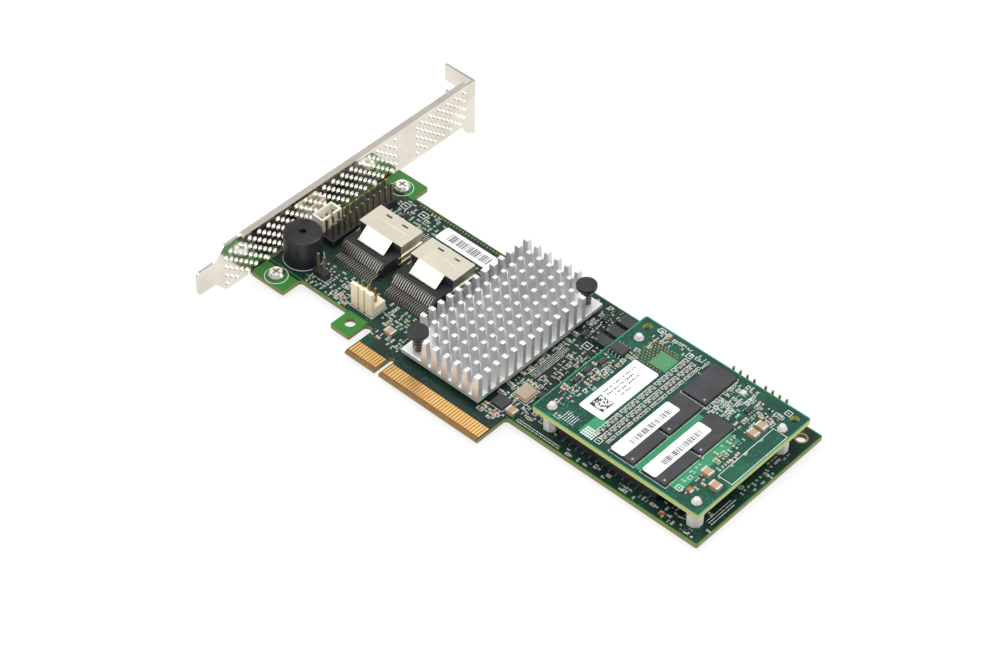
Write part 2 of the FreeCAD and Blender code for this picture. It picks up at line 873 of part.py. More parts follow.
def push_pin(number, x, y):
    """A sprung push pin from its head down to the barb below the board."""
    body = new_body(f"PushPin{number}")
    head_floor = sink_floor + s.sink_base + s.spring_height
    shaft = s.pin_shaft_diameter
    prism(body, f"PushPinShaft{number}", shaft, -s.pin_hole_gap, head_floor)
    barb = shaft + s.pin_barb_flare * 2
    cone(body, f"PushPinBarb{number}", shaft * s.pin_point_share, barb, -s.pin_barb_reach, -s.pin_hole_gap)
    rim = sketch_on(body, f"PushPinRim{number}", "XY_Plane", head_floor)
    draw_circle(rim, 0, 0, s.pin_head_diameter)
    pad(body, rim, s.pin_head_height)
    place(body, x, y, 0)
    return body


def push_pin_spring(number, x, y):
    """A compression spring round a push pin: a square wire swept along its coils."""
    radius = (s.spring_diameter - s.spring_wire).value / 2
    wire = s.spring_wire.value
    rise = s.spring_height.value - wire
    steps = int(s.spring_turns.value) * COIL_SIDES
    route = []
    for step in range(steps + 1):
        angle = math.tau * step / COIL_SIDES
        route.append(FreeCAD.Vector(radius * math.cos(angle), radius * math.sin(angle), rise * step / steps))
    corners = [
        route[0] + FreeCAD.Vector(across * wire / 2, 0, up * wire / 2)
        for across, up in ((-1, -1), (1, -1), (1, 1), (-1, 1), (-1, -1))
    ]
    mitred = 1
    coil = Part.makePolygon(route).makePipeShell([Part.makePolygon(corners)], True, True, mitred)
    spring = doc.addObject("Part::Feature", f"PushPinSpring{number}")
    spring.Shape = coil
    place(spring, x, y, sink_floor + s.sink_base + s.spring_wire / 2)
    return spring


def controller_chip():
    """The controller chip under the heat sink and the pad between them."""
    left = s.sink_left + (sink_width - s.chip_size) / 2
    front = s.sink_front + (sink_depth - s.chip_size) / 2
    chip = box("ControllerChip", left, front, deck, s.chip_size, s.chip_size, s.chip_height)
    pad_height = deck + s.chip_height
    filler = box("ThermalPad", left, front, pad_height, s.chip_size, s.chip_size, s.pad_thickness)
    node("controller_chip", chip)
    return node("thermal_pad", filler)


def sas_housing(number, centre):
    """The moulded body of a mini-SAS socket, with the slot for the plug's blade."""
    body = new_body(f"SasHousing{number}")
    half = s.socket_block_width / 2
    block = sketch_on(body, f"SasBlock{number}", "YZ_Plane")
    draw_outline(block, [
        (0, 0),
        (s.socket_block_depth, 0),
        (s.socket_block_depth, s.socket_block_height),
        (s.socket_block_bevel, s.socket_block_height),
        (0, s.socket_block_height - s.socket_block_bevel),
    ])
    pad(body, block, half * 2, both_ways=True)
    core_half = s.shell_width / 2 - s.shell_sheet - s.socket_core_gap
    core_low = s.shell_sheet + s.socket_core_gap
    core_top = s.shell_height - s.shell_sheet - s.socket_core_gap
    core = sketch_on(body, f"SasCore{number}", "YZ_Plane")
    draw_rectangle(core, s.socket_block_depth, core_low, s.socket_core_depth, core_top - core_low)
    pad(body, core, core_half * 2, both_ways=True)
    mouth = s.socket_block_depth + s.socket_core_depth
    blade = sketch_on(body, f"SasBladeSlot{number}", "XZ_Plane", -mouth)
    middle = (core_low + core_top) / 2
    draw_rectangle(
        blade,
        -(s.socket_slot_width / 2),
        middle - s.socket_slot_height / 2,
        s.socket_slot_width,
        s.socket_slot_height,
    )
    pocket(body, blade, s.socket_slot_depth, reverse=True)
    place(body, centre, s.socket_front, deck)
    return node(f"sas_housing_{number}", body)


def sas_shell(number, centre):
    """The sheet-metal shell of a mini-SAS socket with its latch slots and spring tab."""
    body = new_body(f"SasShell{number}")
    half = s.shell_width / 2
    front = s.socket_block_depth + s.socket_core_gap
    block = sketch_on(body, f"ShellBlock{number}", "XZ_Plane", -front)
    draw_rectangle(block, -half, 0, s.shell_width, s.shell_height)
    pad(body, block, s.shell_depth, reverse=True)
    bore = sketch_on(body, f"ShellBore{number}", "XZ_Plane", -front)
    inner = s.shell_width - s.shell_sheet * 2
    draw_rectangle(bore, -(inner / 2), s.shell_sheet, inner, s.shell_height - s.shell_sheet * 2)
    pocket(body, bore, s.shell_depth)
    slots = sketch_on(body, f"ShellSlots{number}", "XY_Plane", s.shell_height)
    slot_y = front + s.shell_depth - s.latch_slot_inset - s.latch_slot_length
    for side in (-1, 1):
        slot_x = s.latch_slot_spacing / 2 * side - s.latch_slot_width / 2
        draw_rectangle(slots, slot_x, slot_y, s.latch_slot_width, s.latch_slot_length)
    pocket(body, slots, s.shell_sheet)
    top = s.shell_height
    tip_y = front - s.shell_tab_reach
    tip_z = top - s.shell_tab_drop
    tab = sketch_on(body, f"ShellTab{number}", "YZ_Plane")
    draw_outline(tab, [
        (front, top),
        (front - s.shell_sheet, top),
        (tip_y, tip_z),
        (tip_y - s.shell_sheet * 2, tip_z),
        (tip_y - s.shell_sheet * 2, tip_z - s.shell_sheet),
        (tip_y + s.shell_sheet * 0.3, tip_z - s.shell_sheet),
        (front - s.shell_sheet * 0.7, top - s.shell_sheet),
        (front, top - s.shell_sheet),
    ])
    pad(body, tab, s.shell_tab_width, both_ways=True)
    place(body, centre, s.socket_front, deck)
    return node(f"sas_shell_{number}", body)


def sas_contacts(number, centre):
    """Two staggered rows of leads from a mini-SAS socket down to the board."""
    body = new_body(f"SasContacts{number}")
    first = -(s.lead_pitch * (s.lead_count - 0.5) / 2)
    top = s.socket_block_height
    thick = s.lead_thickness
    upper = sketch_on(body, f"UpperLead{number}", "YZ_Plane", first)
    knee = s.socket_block_bevel - s.socket_core_gap
    shin = s.upper_lead_reach * 0.5
    draw_outline(upper, [
        (s.upper_lead_run, top),
        (s.upper_lead_run, top + thick),
        (knee, top + thick),
        (-shin, top - knee - shin + thick),
        (-s.upper_lead_reach, 0),
        (thick * 2 - s.upper_lead_reach, 0),
        (thick - shin, top - knee - shin + thick),
        (knee, top),
    ])
    low = s.lower_lead_height
    lower = sketch_on(body, f"LowerLead{number}", "YZ_Plane", first + s.lead_pitch / 2)
    draw_outline(lower, [
        (0, low),
        (0, low + thick),
        (-s.lower_lead_reach, low + thick),
        (-(s.lower_lead_reach + s.lead_foot), thick),
        (-(s.lower_lead_reach + s.lead_foot), 0),
        (-(s.lower_lead_reach - thick), 0),
        (-(s.lower_lead_reach - thick), low),
    ])
    for sketch in (upper, lower):
        lead = pad(body, sketch, s.lead_width)
        repeat(body, [lead], sketch, "N_Axis", s.lead_pitch, s.lead_count)
    place(body, centre, s.socket_front, deck)
    return node(f"sas_contacts_{number}", body)


def buzzer():
    """The round alarm buzzer with its sound port."""
    body = new_body("Buzzer")
    radius = s.buzzer_diameter / 2
    port = s.buzzer_port / 2
    sketch = sketch_on(body, "BuzzerSection", "XZ_Plane")
    draw_outline(sketch, [
        (0, 0),
        (radius, 0),
        (radius, s.buzzer_height - s.buzzer_edge),
        (radius - s.buzzer_edge, s.buzzer_height),
        (port, s.buzzer_height),
        (port, s.buzzer_height - s.buzzer_port_depth),
        (0, s.buzzer_height - s.buzzer_port_depth),
    ])
    turn(body, sketch)
    place(body, bracket_face + s.buzzer_from_bracket, s.buzzer_up, deck)
    return node("buzzer", body)


def post_places(x, y, columns, rows, along="y"):
    """Places of posts in a grid that starts at x, y."""
    spots = []
    for i in range(columns):
        for j in range(rows):
            step = s.post_pitch * i
            side = s.post_pitch * j
            spots.append((x + side, y + step) if along == "y" else (x + step, y + side))
    return spots


def header(label, x, y, columns, rows, along="y", height=s.post_height):
    """A pin header: a plain base with a post through each cell. x, y is the base's corner."""
    half = s.post_pitch / 2
    long_side = s.post_pitch * columns
    short_side = s.post_pitch * rows
    size = (short_side, long_side) if along == "y" else (long_side, short_side)
    name = label.title().replace("_", "")
    hole = s.post_width
    body = new_body(f"{name}Base")
    sketch = sketch_on(body, f"{name}Outline", "XY_Plane")
    draw_rectangle(sketch, 0, 0, size[0], size[1])
    spots = post_places(half, half, columns, rows, along)
    for u, v in spots:
        draw_rectangle(sketch, u - hole / 2, v - hole / 2, hole, hole)
    pad(body, sketch, s.post_base_height)
    place(body, x, y, deck)
    node(f"{label}_base", body)
    posts = [
        box(f"{name}Post{i}", x + u - hole / 2, y + v - hole / 2, deck, hole, hole, height)
        for i, (u, v) in enumerate(spots)
    ]
    return node(f"{label}_pins", group(f"{name}Posts", posts))


def key_header():
    """The keyed three-way header near the bracket: an open-topped shroud round its posts."""
    x = bracket_face + s.key_header_from_bracket
    y = s.key_header_start
    body = new_body("KeyHeaderHousing")
    outline = sketch_on(body, "KeyHeaderOutline", "XY_Plane")
    draw_rectangle(outline, 0, 0, s.key_header_width, s.key_header_length)
    pad(body, outline, s.key_header_height)
    hollow = sketch_on(body, "KeyHeaderHollow", "XY_Plane", s.key_header_height)
    wall = s.key_header_wall
    draw_rectangle(hollow, wall, wall, s.key_header_width - wall * 2, s.key_header_length - wall * 2)
    pocket(body, hollow, s.key_header_height - s.post_base_height)
    keyway = sketch_on(body, "KeyHeaderKeyway", "XY_Plane", s.key_header_height)
    side = s.key_header_width - wall
    middle = s.key_header_length / 2
    draw_rectangle(keyway, side - wall, middle - wall, wall * 3, wall * 2)
    pocket(body, keyway, s.key_header_height - s.post_base_height)
    half = s.post_width / 2
    first_y = (s.key_header_length - s.post_pitch * (s.key_header_posts - 1)) / 2
    spots = post_places(s.key_header_width / 2, first_y, int(s.key_header_posts.value), 1)
    holes = sketch_on(body, "KeyHeaderHoles", "XY_Plane", s.post_base_height)
    for u, v in spots:
        draw_rectangle(holes, u - half, v - half, s.post_width, s.post_width)
    pocket(body, holes, s.post_base_height)
    place(body, x, y, deck)
    node("key_header_housing", body)
    reach = s.key_header_height - s.key_header_wall
    posts = [
        box(f"KeyHeaderPost{i}", x + u - half, y + v - half, deck, s.post_width, s.post_width, reach)
        for i, (u, v) in enumerate(spots)
    ]
    return node("key_header_pins", group("KeyHeaderPosts", posts))


def lock_header():
    """The three-way friction-lock header: a base with a tall grooved wall behind its posts."""
    x = -s.lock_header_left
    y = s.lock_header_start
    count = int(s.lock_header_posts.value)
    body = new_body("LockHeaderHousing")
    section = sketch_on(body, "LockHeaderSection", "YZ_Plane")
    draw_outline(section, [
        (0, 0),
        (s.lock_header_depth, 0),
        (s.lock_header_depth, s.lock_base_height),
        (s.lock_wall, s.lock_base_height),
        (s.lock_wall, s.lock_wall_height * 0.8),
        (s.lock_wall * 1.4, s.lock_wall_height * 0.85),
        (s.lock_wall, s.lock_wall_height),
        (0, s.lock_wall_height),
    ])
    pad(body, section, s.lock_header_width)
    side = (s.lock_header_width - s.post_pitch * (s.lock_header_posts - 1)) / 2
    grooves = sketch_on(body, "LockHeaderGrooves", "XY_Plane", s.lock_wall_height)
    for i in range(count - 1):
        groove_x = side + s.post_pitch * (i + 0.5) - s.lock_groove / 2
        draw_rectangle(grooves, groove_x, 0, s.lock_groove, s.lock_groove)
    pocket(body, grooves, s.lock_wall_height)
    half = s.post_width / 2
    post_y = (s.lock_wall + s.lock_header_depth) / 2
    holes = sketch_on(body, "LockHeaderHoles", "XY_Plane", s.lock_base_height)
    for i in range(count):
        draw_rectangle(holes, side + s.post_pitch * i - half, post_y - half, s.post_width, s.post_width)
    pocket(body, holes, s.lock_base_height)
    place(body, x, y, deck)
    node("lock_header_housing", body)
    posts = [
        box(
            f"LockHeaderPost{i}",
            x + side + s.post_pitch * i - half,
            y + post_y - half,
            deck,
            s.post_width,
            s.post_width,
            s.post_height,
        )
        for i in range(count)
    ]
    return node("lock_header_pins", group("LockHeaderPosts", posts))


def oscillator():
    """The metal-lidded oscillator: a flange with a raised lid."""
    rim = s.oscillator_rim
    body = new_body("Oscillator")
    base = sketch_on(body, "OscillatorBase", "XY_Plane")
    draw_rectangle(base, 0, 0, s.oscillator_width, s.oscillator_length)
    pad(body, base, rim)
    lid = sketch_on(body, "OscillatorLid", "XY_Plane", rim)
    draw_rectangle(lid, rim, rim, s.oscillator_width - rim * 2, s.oscillator_length - rim * 2)
    pad(body, lid, s.oscillator_height - rim)
    place(body, s.oscillator_left, s.oscillator_front, deck)
    return node("oscillator", body)


def cache_board():
    """The plug-in memory board with its standoff holes and two spare holes."""
    body = new_body("CacheBoard")
    outline = sketch_on(body, "CacheOutline", "XY_Plane")
    draw_rectangle(outline, 0, 0, s.cache_width, s.cache_depth)
    plate = pad(body, outline, s.board_thickness)
    holes = sketch_on(body, "CacheHoles", "XY_Plane", s.board_thickness)
    for x, y in standoff_places:
        draw_polygon(holes, x - s.cache_left, y - s.cache_front, s.standoff_hole, NECK_SIDES)
    spare_y = s.cache_depth - s.cache_hole_from_top
    draw_circle(holes, s.cache_hole_left, spare_y, s.cache_hole_diameter)
    draw_circle(holes, s.cache_width - s.cache_hole_right, spare_y, s.cache_hole_diameter)
    drilled = pocket(body, holes, s.board_thickness)
    middle = s.board_thickness / 2
    corners = [(x, y, middle) for x in (0, s.cache_width) for y in (0, s.cache_depth)]
    round_off(body, drilled, corners, s.cache_corner_radius)
    place(body, s.cache_left, s.cache_front, cache_floor)
    return node("cache_board", body)


def standoff(number, x, y):
    """A nylon standoff that snaps into both boards."""
    body = new_body(f"Standoff{number}")
    lip = s.standoff_hole - s.standoff_neck
    point = s.standoff_neck * s.standoff_point_share
    top = cache_deck + s.standoff_barb_length
    prism(body, f"StandoffNeck{number}", s.standoff_neck, -lip, cache_deck + lip)
    prism(body, f"StandoffBody{number}", s.standoff_diameter, deck, cache_floor)
    cone(body, f"StandoffTip{number}", s.standoff_barb, point, cache_deck + lip, top)
    cone(body, f"StandoffFoot{number}", point, s.standoff_barb, -s.standoff_barb_length, -lip)
    place(body, x, y, 0)
    return body


def stack_connector():
    """The board-to-board connector: socket, plug and the socket's solder feet."""
    x = s.cache_left + s.stack_connector_left
    y = s.cache_front + s.stack_connector_front
    length = s.stack_connector_length
    width = s.stack_connector_width
    wall = s.stack_wall
    socket = new_body("StackSocket")
    block = sketch_on(socket, "StackSocketBlock", "XY_Plane")
    draw_rectangle(block, 0, 0, length, width)
    pad(socket, block, s.stack_socket_height)
    well = sketch_on(socket, "StackSocketWell", "XY_Plane", s.stack_socket_height)
    draw_rectangle(well, wall, wall, length - wall * 2, width - wall * 2)
    pocket(socket, well, s.stack_socket_height - wall)
    place(socket, x, y, deck)
    node("stack_socket", socket)
    plug = new_body("StackPlug")
    gap = s.socket_core_gap
    shoulder = s.stack_gap - s.stack_socket_height
    top = sketch_on(plug, "StackPlugTop", "XY_Plane")
    draw_rectangle(top, 0, 0, length, width)
    pad(plug, top, shoulder)
    nose = sketch_on(plug, "StackPlugNose", "XY_Plane")
    inset = wall + gap
    draw_rectangle(nose, inset, inset, length - inset * 2, width - inset * 2)
    pad(plug, nose, s.stack_socket_height - wall - gap, reverse=True)
    place(plug, x, y, deck + s.stack_socket_height)
    node("stack_plug", plug)
    feet = []
    count = int(s.stack_contacts.value)
    pitch = (length - wall * 2) / count
    for side, foot_y in enumerate((y - s.stack_contact_reach, y + width)):
        for i in range(count):
            foot_x = x + wall + pitch * (i + 0.5) - s.stack_contact_width / 2
            feet.append(box(
                f"StackFoot{side}_{i}",
                foot_x,
                foot_y,
                deck,
                s.stack_contact_width,
                s.stack_contact_reach,
                s.lead_thickness,
            ))
    return node("stack_contacts", group("StackFeet", feet))


def chips():
    """Plain chip packages on both boards."""
    buffer_chip = box(
        "BufferChip", s.buffer_left, s.buffer_front, deck, s.buffer_size, s.buffer_size, s.buffer_height
    )
    node("clock_buffer_chip", buffer_chip)
    for i in range(3):
        regulator = box(
            f"Regulator{i}",
            s.regulator_left,
            s.regulator_front + s.regulator_spacing * i,
            deck,
            s.regulator_width,
            s.regulator_length,
            s.regulator_height,
        )
        node(f"regulator_chip_{i + 1}", regulator)
    grid = ((0, 0), (0, 1), (0, 2), (1, 0), (1, 1))
    for number, (column, place_in_column) in enumerate(grid, start=1):
        memory = box(
            f"MemoryChip{number}",
            s.cache_left + s.memory_column + s.memory_column_pitch * column,
            s.cache_front + s.memory_front + (s.memory_length + s.memory_gap) * place_in_column,
            cache_deck,
            s.memory_width,
            s.memory_length,
            s.memory_height,
        )
        node(f"memory_chip_{number}", memory)


def supervisor_chip():
    """A small eight-lead chip on the cache board, its gull-wing leads on two sides."""
    x = s.cache_left + s.supervisor_left
    y = s.cache_front + s.supervisor_front
    body = new_body("SupervisorChip")
    section = sketch_on(body, "SupervisorSection", "YZ_Plane")
    slope = s.lead_thickness
    waist = s.supervisor_height / 2
    depth = s.supervisor_length
    draw_outline(section, [
        (slope, s.lead_thickness),
        (depth - slope, s.lead_thickness),
        (depth, waist),
        (depth - slope, s.supervisor_height),
        (slope, s.supervisor_height),
        (0, waist),
    ])
    pad(body, section, s.supervisor_width)
    place(body, x, y, cache_deck)
    node("supervisor_chip", body)
    leads = new_body("SupervisorLeads")
    side = (s.supervisor_width - s.supervisor_lead_pitch * (s.supervisor_leads - 1)) / 2
    reach = s.supervisor_lead_reach
    thick = s.lead_thickness
    for name, root, sign in (("Front", as_term(0), -1), ("Back", depth, 1)):
        profile = sketch_on(leads, f"Supervisor{name}Lead", "YZ_Plane", side - s.lead_width / 2)
        draw_outline(profile, [
            (root, waist),
            (root, waist + thick),
            (root + reach * sign * 0.4 + thick * sign, waist + thick),
            (root + reach * sign * 0.5 + thick * sign, thick),
            (root + reach * sign, thick),
            (root + reach * sign, 0),
            (root + reach * sign * 0.5, 0),
            (root + reach * sign * 0.4, waist),
        ])
        lead = pad(leads, profile, s.lead_width)
        repeat(leads, [lead], profile, "N_Axis", s.supervisor_lead_pitch, s.supervisor_leads)
    place(leads, x, y, cache_deck)
    return node("supervisor_leads", leads)


def labels():
    """Paper labels on the boards and across two pairs of memory chips."""
    thick = s.label_thickness
    board_label = box(
        "BoardLabel",
        -s.board_label_left,
        s.board_label_front,
        deck,
        s.board_label_width,
        s.board_label_depth,
        thick,
    )
    node("board_label", board_label)
    cache_label = box(
        "CacheLabel",
        s.cache_left + s.cache_label_left,
        s.cache_front + s.cache_label_front,
        cache_deck,
        s.cache_label_width,
        s.cache_label_depth,
        thick,
    )
    node("cache_label", cache_label)
    for column in range(2):
        strip = box(
            f"ChipLabel{column}",
            s.cache_left + s.memory_column + s.memory_column_pitch * column,
            s.cache_front + s.memory_front,
            cache_deck + s.memory_height,
            s.chip_label_width,
            s.chip_label_length,
            thick,
        )
        node(f"chip_label_{column + 1}", strip)


def capacitors(label, places, height):
    """A group of ceramic capacitors that lie along X, each one a plain block."""
    blocks = [
        box(
            f"{label.title().replace('_', '')}{i}",
            x,
            y,
            height,
            s.capacitor_length,
            s.capacitor_width,
            s.capacitor_height,
        )
        for i, (x, y) in enumerate(places)
    ]
    return node(label, group(f"{label.title().replace('_', '')}Group", blocks))


def write_parts():
    """Check the document and write each sub-part's solid to its own file."""
    doc.recompute()
    for thing in doc.Objects:
        if "Invalid" in thing.State or "Error" in thing.State:
            raise ValueError(f"{thing.Label} failed: {thing.State}")
    for thing in nodes:
        if thing.Shape.isNull() or not thing.Shape.isValid() or not thing.Shape.Solids:
            raise ValueError(f"{thing.Label} has no sound shape")
    os.makedirs("parts", exist_ok=True)
    for thing in nodes:
        thing.Shape.exportStep(os.path.join("parts", f"{thing.Label}.step"))
    print(f"{len(nodes)} parts written")


main_board()
edge_contacts()
bracket()
screws = [bracket_screw(number, y) for number, y in enumerate((near_screw_y, far_screw_y), start=1)]
node("bracket_screws", group("BracketScrews", screws))
heat_sink()
node("push_pins", group("PushPins", [push_pin(i, x, y) for i, (x, y) in enumerate(push_pin_places)]))
springs = [push_pin_spring(number, x, y) for number, (x, y) in enumerate(push_pin_places)]
node("push_pin_springs", group("Springs", springs))
controller_chip()
for index in range(2):
    socket_middle = -s.socket_centre + s.socket_pitch * index
    sas_housing(index + 1, socket_middle)
    sas_shell(index + 1, socket_middle)
    sas_contacts(index + 1, socket_middle)
buzzer()
long_header_x = bracket_face + s.long_header_from_bracket
double_header_start = s.row_header_start + s.post_pitch * s.row_header_columns + s.header_end_gap
header("row_header", long_header_x, s.row_header_start, int(s.row_header_columns.value), 2)
header("double_header", long_header_x, double_header_start, int(s.double_header_columns.value), 2)
header(
    "jumper_header",
    bracket_face + s.jumper_from_bracket - s.post_pitch,
    s.jumper_up - s.post_pitch / 2,
    2,
    1,
    "x",
)
key_header()
lock_header()
for index in range(2):
    header(
        f"rear_header_{index + 1}",
        s.rear_header_start + s.rear_header_spacing * index,
        s.card_height - s.rear_header_from_top,
        int(s.rear_header_posts.value),
        1,
        "x",
        s.rear_post_height,
    )
oscillator()
cache_board()
node("standoffs", group("Standoffs", [standoff(i, x, y) for i, (x, y) in enumerate(standoff_places)]))
stack_connector()
chips()
supervisor_chip()
labels()
front_edge = s.shoulder_height + s.capacitor_cap
capacitors("board_capacitors", [
    (finger_left + s.capacitor_length, front_edge),
    (s.oscillator_left + s.capacitor_length, s.buffer_front),
], deck)
cache_side = cache_right - s.capacitor_length * 3
capacitors("cache_capacitors", [
    (cache_side, s.cache_front + s.capacitor_width * 5),
    (cache_side + s.capacitor_length * 1.5, s.cache_front + s.capacitor_width * 4),
    (cache_side, cache_back - s.standoff_back - s.capacitor_width * 2),
    (cache_side, cache_back - s.standoff_back - s.capacitor_width * 3.5),
], cache_deck)
write_parts()
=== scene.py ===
import math
import random

import bmesh
import bpy
from mathutils import Matrix, Vector
from mathutils.bvhtree import BVHTree


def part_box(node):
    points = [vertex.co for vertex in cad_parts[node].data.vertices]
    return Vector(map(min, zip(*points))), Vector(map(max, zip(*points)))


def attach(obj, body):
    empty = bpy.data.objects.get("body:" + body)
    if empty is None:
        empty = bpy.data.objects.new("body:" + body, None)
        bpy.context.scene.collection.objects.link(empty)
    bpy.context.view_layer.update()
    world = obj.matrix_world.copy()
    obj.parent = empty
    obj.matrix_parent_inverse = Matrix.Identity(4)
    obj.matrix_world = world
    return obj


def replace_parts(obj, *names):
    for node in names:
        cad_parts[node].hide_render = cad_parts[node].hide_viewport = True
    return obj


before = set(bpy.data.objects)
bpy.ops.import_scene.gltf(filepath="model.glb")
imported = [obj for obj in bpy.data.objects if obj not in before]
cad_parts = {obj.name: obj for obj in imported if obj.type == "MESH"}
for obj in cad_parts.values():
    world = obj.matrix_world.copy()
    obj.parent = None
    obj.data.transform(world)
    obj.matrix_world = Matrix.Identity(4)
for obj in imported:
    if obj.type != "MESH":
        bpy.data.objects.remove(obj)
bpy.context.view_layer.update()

# The looks of a RAID controller card: a solder-masked circuit board with a plated slot
# bracket, two drive sockets, a pin-fin heat sink and a cache board on nylon standoffs.
# Lengths below are in millimetres and become metres as each mesh is made.

MM = 0.001
SEED = 17
draw = random.Random(SEED)


def low(node):
    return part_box(node)[0] / MM


def high(node):
    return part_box(node)[1] / MM


def middle(node):
    return (low(node) + high(node)) / 2


def span(node):
    """The lowest and highest corner of a node's box, in millimetres."""
    return low(node), high(node)


def link(piece):
    bpy.context.scene.collection.objects.link(piece)


# --- colours and node materials

def rgb(red, green, blue):
    """A shader colour from screen values of 0 to 255."""
    def linear(value):
        value /= 255
        return value / 12.92 if value <= 0.04045 else ((value + 0.055) / 1.055) ** 2.4
    return (linear(red), linear(green), linear(blue), 1.0)


def shade(base, factor, lift=0.0):
    """A colour made darker, or paler up to white."""
    return tuple(min(1.0, c * factor + lift) for c in base[:3]) + (1.0,)


class Nodes:
    """A node tree, with short ways to add nodes and join them."""

    def __init__(self, tree):
        self.tree = tree

    def node(self, kind, **inputs):
        made = self.tree.nodes.new("ShaderNode" + kind)
        self.fill(made, inputs)
        return made

    def fill(self, node, inputs):
        for name, value in inputs.items():
            self.feed(node.inputs[name.replace("_", " ")], value)

    def feed(self, socket, value):
        """Link an output to a socket, or set the socket to a plain value."""
        if isinstance(value, bpy.types.NodeSocket):
            self.tree.links.new(value, socket)
        else:
            socket.default_value = value

    def calc(self, how, a, b=0.0):
        """One step of arithmetic, such as MAXIMUM."""
        made = self.node("Math")
        made.operation = how
        self.feed(made.inputs[0], a)
        self.feed(made.inputs[1], b)
        return made.outputs[0]

    def times(self, a, b):
        return self.calc("MULTIPLY", a, b)

    def plus(self, a, b):
        return self.calc("ADD", a, b)

    def blend(self, share, first, second):
        """Two shaders: the second one where share is 1."""
        made = self.node("MixShader")
        for socket, value in zip(made.inputs, (share, first, second)):
            self.feed(socket, value)
        return made.outputs[0]


class Finish(Nodes):
    """A material that varies with the object's own coordinates."""

    def __init__(self, name, base, roughness, metallic=0.0):
        self.material = bpy.data.materials.new(name)
        self.material.use_nodes = True
        self.material.diffuse_color = base
        super().__init__(self.material.node_tree)
        self.shader = self.tree.nodes["Principled BSDF"]
        self.set(Base_Color=base, Roughness=roughness, Metallic=metallic)
        self.place = self.node("TexCoord").outputs["Object"]

    def set(self, **inputs):
        self.fill(self.shader, inputs)

    def stretched(self, scale, turn=0.0):
        """The object's own coordinates, scaled along each axis and turned about Z."""
        made = self.node("Mapping", Vector=self.place, Scale=scale, Rotation=(0, 0, turn))
        return made.outputs["Vector"]

    def noise(self, cell, detail=3.0, where=None):
        """Noise whose lumps are about cell millimetres across."""
        where = where or self.place
        return self.node("TexNoise", Scale=1 / (cell * MM), Detail=detail, Vector=where).outputs["Fac"]

    def cells(self, cell, randomness=1.0):
        """Voronoi cells about cell millimetres across."""
        scale = 1 / (cell * MM)
        return self.node("TexVoronoi", Scale=scale, Randomness=randomness, Vector=self.place).outputs

    def bricks(self, length, height, gap, where=None):
        """1 in the gaps between long bricks, and 0 on them."""
        made = self.node(
            "TexBrick", Scale=1 / MM, Brick_Width=length, Row_Height=height, Mortar_Size=gap,
            Mortar_Smooth=0.1, Vector=where or self.place,
        )
        return made.outputs["Fac"]

    def step(self, value, low, high):
        """0 where value is below low, 1 above high, smooth between."""
        made = self.node("MapRange", Value=value, From_Min=low, From_Max=high)
        made.interpolation_type = "SMOOTHSTEP"
        return made.outputs["Result"]

    def spread(self, value, low, high):
        """value of 0 to 1 moved to the range low to high."""
        return self.node("MapRange", Value=value, To_Min=low, To_Max=high).outputs["Result"]

    def mix(self, share, first, second):
        """Two colours: the second one where share is 1."""
        made = self.node("Mix")
        made.data_type = "RGBA"
        self.feed(made.inputs[0], share)
        self.feed(made.inputs[6], first)
        self.feed(made.inputs[7], second)
        return made.outputs[2]

    def bump(self, height, depth, strength):
        """Relief of the given depth in millimetres."""
        made = self.node("Bump", Height=height, Strength=strength, Distance=depth * MM)
        self.set(Normal=made.outputs["Normal"])

    def done(self, tint, gloss, relief):
        """The material: tint as for mix, gloss as for spread and relief as for bump."""
        self.set(Base_Color=self.mix(*tint), Roughness=self.spread(*gloss))
        self.bump(*relief)
        return self.material

    def inside(self, areas):
        """1 within any of the areas (x0, y0, x1, y1), in millimetres."""
        split = self.node("SeparateXYZ", Vector=self.place)
        total = 0.0
        for x0, y0, x1, y1 in areas:
            share = 1.0
            for axis, lowest, highest in (("X", x0, x1), ("Y", y0, y1)):
                value = split.outputs[axis]
                share = self.times(share, self.calc("GREATER_THAN", value, lowest * MM))
                share = self.times(share, self.calc("LESS_THAN", value, highest * MM))
            total = self.calc("MAXIMUM", total, share)
        return total

    def facing_up(self):
        """1 on level faces and 0 on upright ones."""
        facing = self.node("NewGeometry").outputs["Normal"]
        split = self.node("SeparateXYZ", Vector=facing)
        return self.step(self.calc("ABSOLUTE", split.outputs["Z"]), 0.5, 0.8)


